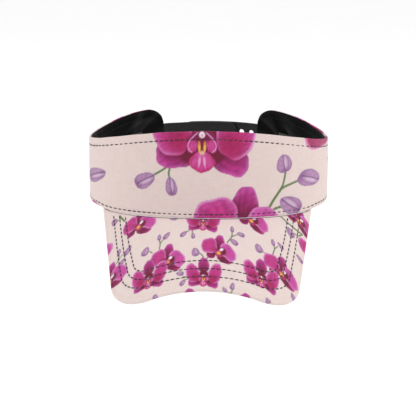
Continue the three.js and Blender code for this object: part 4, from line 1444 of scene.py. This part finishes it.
def towelling():
    # looped pile: small round loops at random with a soft sheen
    material, tree, shader = newMaterial(
        "towelling", roughness=0.95, specular=0.15, sheenWeight=0.35, sheenRoughness=0.6)
    uv = clothPlace(tree)
    loops = addNode(tree, "ShaderNodeTexVoronoi", {"Vector": uv, "Scale": 1100.0}).outputs["Distance"]
    curl = noise(tree, uv, 1500, 3.0)
    height = maths(tree, "ADD", maths(tree, "SUBTRACT", 1.0, loops), curl)
    # painted shade: the base colour is darker in the gaps between the loops and lighter on their tops
    rampedBase(tree, shader, loops, (0.014, 0.014, 0.016), (0.004, 0.004, 0.0045))
    bumped(tree, shader, height, 0.7, 0.0004)
    return material


def fleece():
    # pressed white interfacing: short fibres lying all ways
    material, tree, shader = newMaterial(
        "interfacingFleece", roughness=0.95, specular=0.15, sheenWeight=0.1)
    spot = solidPlace(tree)
    fibres = noise(tree, mapped(tree, spot, scale=(900, 900, 240)), 1)
    rampedBase(tree, shader, fibres, (0.56, 0.54, 0.5), (0.78, 0.76, 0.72))
    bumped(tree, shader, fibres, 0.4, 0.0002)
    return material


def boardPlastic():
    # milky pressed sheet with a faint pebble
    material, tree, shader = newMaterial("brimBoardSheet", roughness=0.5, specular=0.4)
    spot = solidPlace(tree)
    pebble = noise(tree, spot, 700, 2.0)
    rampedBase(tree, shader, noise(tree, spot, 40), (0.68, 0.68, 0.65), (0.8, 0.8, 0.77))
    bumped(tree, shader, pebble, 0.25, 0.0001)
    return material


def strapPlastic():
    # moulded black plastic: fine spark grain, duller where it has been handled
    material, tree, shader = newMaterial("strapPlastic", specular=0.26)
    spot = solidPlace(tree)
    sparks = noise(tree, spot, 1900, 2.0, 0.7)
    wear = noise(tree, spot, 60, 3.0)
    rampedBase(tree, shader, wear, (0.006, 0.006, 0.0065), (0.011, 0.011, 0.0115))
    tree.links.new(ranged(tree, wear, 0.38, 0.58), shader.inputs["Roughness"])
    bumped(tree, shader, sparks, 0.18, 0.00006)
    return material


def charcoalThread():
    # two plies twisted together, with painted shade in the slanted grooves between them, so bands of light
    # and dark
    material, tree, shader = newMaterial(
        "charcoalThread", roughness=0.7, specular=0.15, sheenWeight=0.03, sheenRoughness=0.4)
    uv = clothPlace(tree)
    apart = addNode(tree, "ShaderNodeSeparateXYZ", {0: uv})
    turn = maths(tree, "ADD", maths(tree, "MULTIPLY", apart.outputs[0], 2 * math.pi / 0.0009),
                 maths(tree, "MULTIPLY", apart.outputs[1], 1 / 0.0003))
    ply = maths(tree, "ABSOLUTE", maths(tree, "SINE", turn))
    spun = printColour(tree)
    # painted shade: the thread's colour darkens towards the grooves between the plies
    tree.links.new(tinted(tree, spun, ranged(tree, ply, 0.3, 1.0)), shader.inputs["Base Color"])
    bumped(tree, shader, ply, 0.6, 0.00012)
    return material


def dress(piece, material):
    piece.data.materials.clear()
    piece.data.materials.append(material)


clothMaterial = printedCloth()
liningMaterial = blackLining()
towelMaterial = towelling()
plasticMaterial = strapPlastic()
threadMaterial = charcoalThread()
print("materials ready")

# Pieces

coverPiece = makeBandCover()
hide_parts("band_cover")
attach(coverPiece, "visor")
dress(coverPiece, clothMaterial)
print("band cover ready")

liningPiece = makeLining()
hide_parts("band_lining")
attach(liningPiece, "visor")
dress(liningPiece, liningMaterial)
print("lining ready")

sweatPiece = makeSweatband()
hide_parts("sweatband")
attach(sweatPiece, "visor")
dress(sweatPiece, towelMaterial)
print("sweatband ready")

topPiece = makeBrimTopCover()
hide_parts("brim_top_cover")
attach(topPiece, "visor")
dress(topPiece, clothMaterial)

underPiece = makeBrimUnderCover()
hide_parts("brim_under_cover")
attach(underPiece, "visor")
dress(underPiece, clothMaterial)
print("brim cloths ready")

holePiece = makeStrap("holeStrap", 1, strap["firstHole"], strap["holeTip"], False)
pegPiece = makeStrap("pegStrap", -1, strap["firstPeg"], strap["pegTip"], True)
for piece, side, body in ((holePiece, 1, "hole_strap"), (pegPiece, -1, "peg_strap")):
    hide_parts(body, f"{body}_tab")
    dress(piece, plasticMaterial)
    bend = [
        backPoint(side * strap[key], 1.5, strap["middle"]) * metre for key in ("bendStart", "bendEnd")
    ]
    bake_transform(piece)
print("straps ready")

for piece in makeThreads():
    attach(piece, "visor")
    dress(piece, threadMaterial)
print("stitching ready")

for node, material in (("band_interfacing", fleece()), ("brim_board", boardPlastic())):
    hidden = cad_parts[node]
    hidden.data.materials.clear()
    hidden.data.materials.append(material)

# Studio: a pale floor, soft light all round and two broad soft lamps
studio = {
    "floorDrop": 0.16, "floorSize": 8.0, "sky": 0.97, "key": 11.5, "fill": 8.0,
    "keyPlace": (1.5, -0.5, 1.1), "fillPlace": (-1.5, -0.5, 1.0), "lampSize": 0.9,
}


def floorMaterial():
    material, tree, shader = newMaterial("studioFloor", roughness=0.9, specular=0.1)
    spot = solidPlace(tree)
    rampedBase(tree, shader, noise(tree, spot, 12), (0.93, 0.93, 0.93), (0.96, 0.96, 0.96))
    return material


floorHalf = studio["floorSize"] / 2
floorHeight = cadLow.z - studio["floorDrop"]
floorCorners = [
    (x * floorHalf, y * floorHalf, floorHeight) for x, y in ((-1, -1), (1, -1), (1, 1), (-1, 1))
]
floorMesh = bpy.data.meshes.new("studioFloor")
floorMesh.from_pydata(floorCorners, [], [[0, 1, 2, 3]])
floorMesh.materials.append(floorMaterial())
floor = bpy.data.objects.new("studioFloor", floorMesh)
bpy.context.scene.collection.objects.link(floor)


def softLamp(name, place, power):
    # square lamp that looks at the object's middle
    light = bpy.data.lights.new(name, "AREA")
    light.energy = power
    light.size = studio["lampSize"]
    lamp = bpy.data.objects.new(name, light)
    lamp.location = place
    aim = (cadLow + cadHigh) / 2 - lamp.location
    lamp.rotation_euler = aim.to_track_quat("-Z", "Y").to_euler()
    bpy.context.scene.collection.objects.link(lamp)


softLamp("keyLamp", studio["keyPlace"], studio["key"])
softLamp("fillLamp", studio["fillPlace"], studio["fill"])
world = bpy.data.worlds.new("studioSky")
world.use_nodes = True
background = world.node_tree.nodes["Background"]
background.inputs["Color"].default_value = (1, 1, 1, 1)
background.inputs["Strength"].default_value = studio["sky"]
bpy.context.scene.world = world
bpy.context.scene.view_settings.view_transform = "Standard"

# Camera in front, looking a little down
view = {
    "target": (-0.0004, 0.0, -0.0162), "distance": 1.1, "elevation": math.radians(18),
    "azimuth": math.radians(1.1), "lens": 120.1, "sensor": 36,
}
camera = bpy.data.objects.new("camera", bpy.data.cameras.new("camera"))
camera.data.lens = view["lens"]
camera.data.sensor_width = view["sensor"]
reach = view["distance"] * math.cos(view["elevation"])
camera.location = (
    view["target"][0] + reach * math.sin(view["azimuth"]),
    view["target"][1] - reach * math.cos(view["azimuth"]),
    view["target"][2] + view["distance"] * math.sin(view["elevation"]),
)
camera.rotation_euler = (math.pi / 2 - view["elevation"], 0, view["azimuth"])
bpy.context.scene.collection.objects.link(camera)
bpy.context.scene.camera = camera
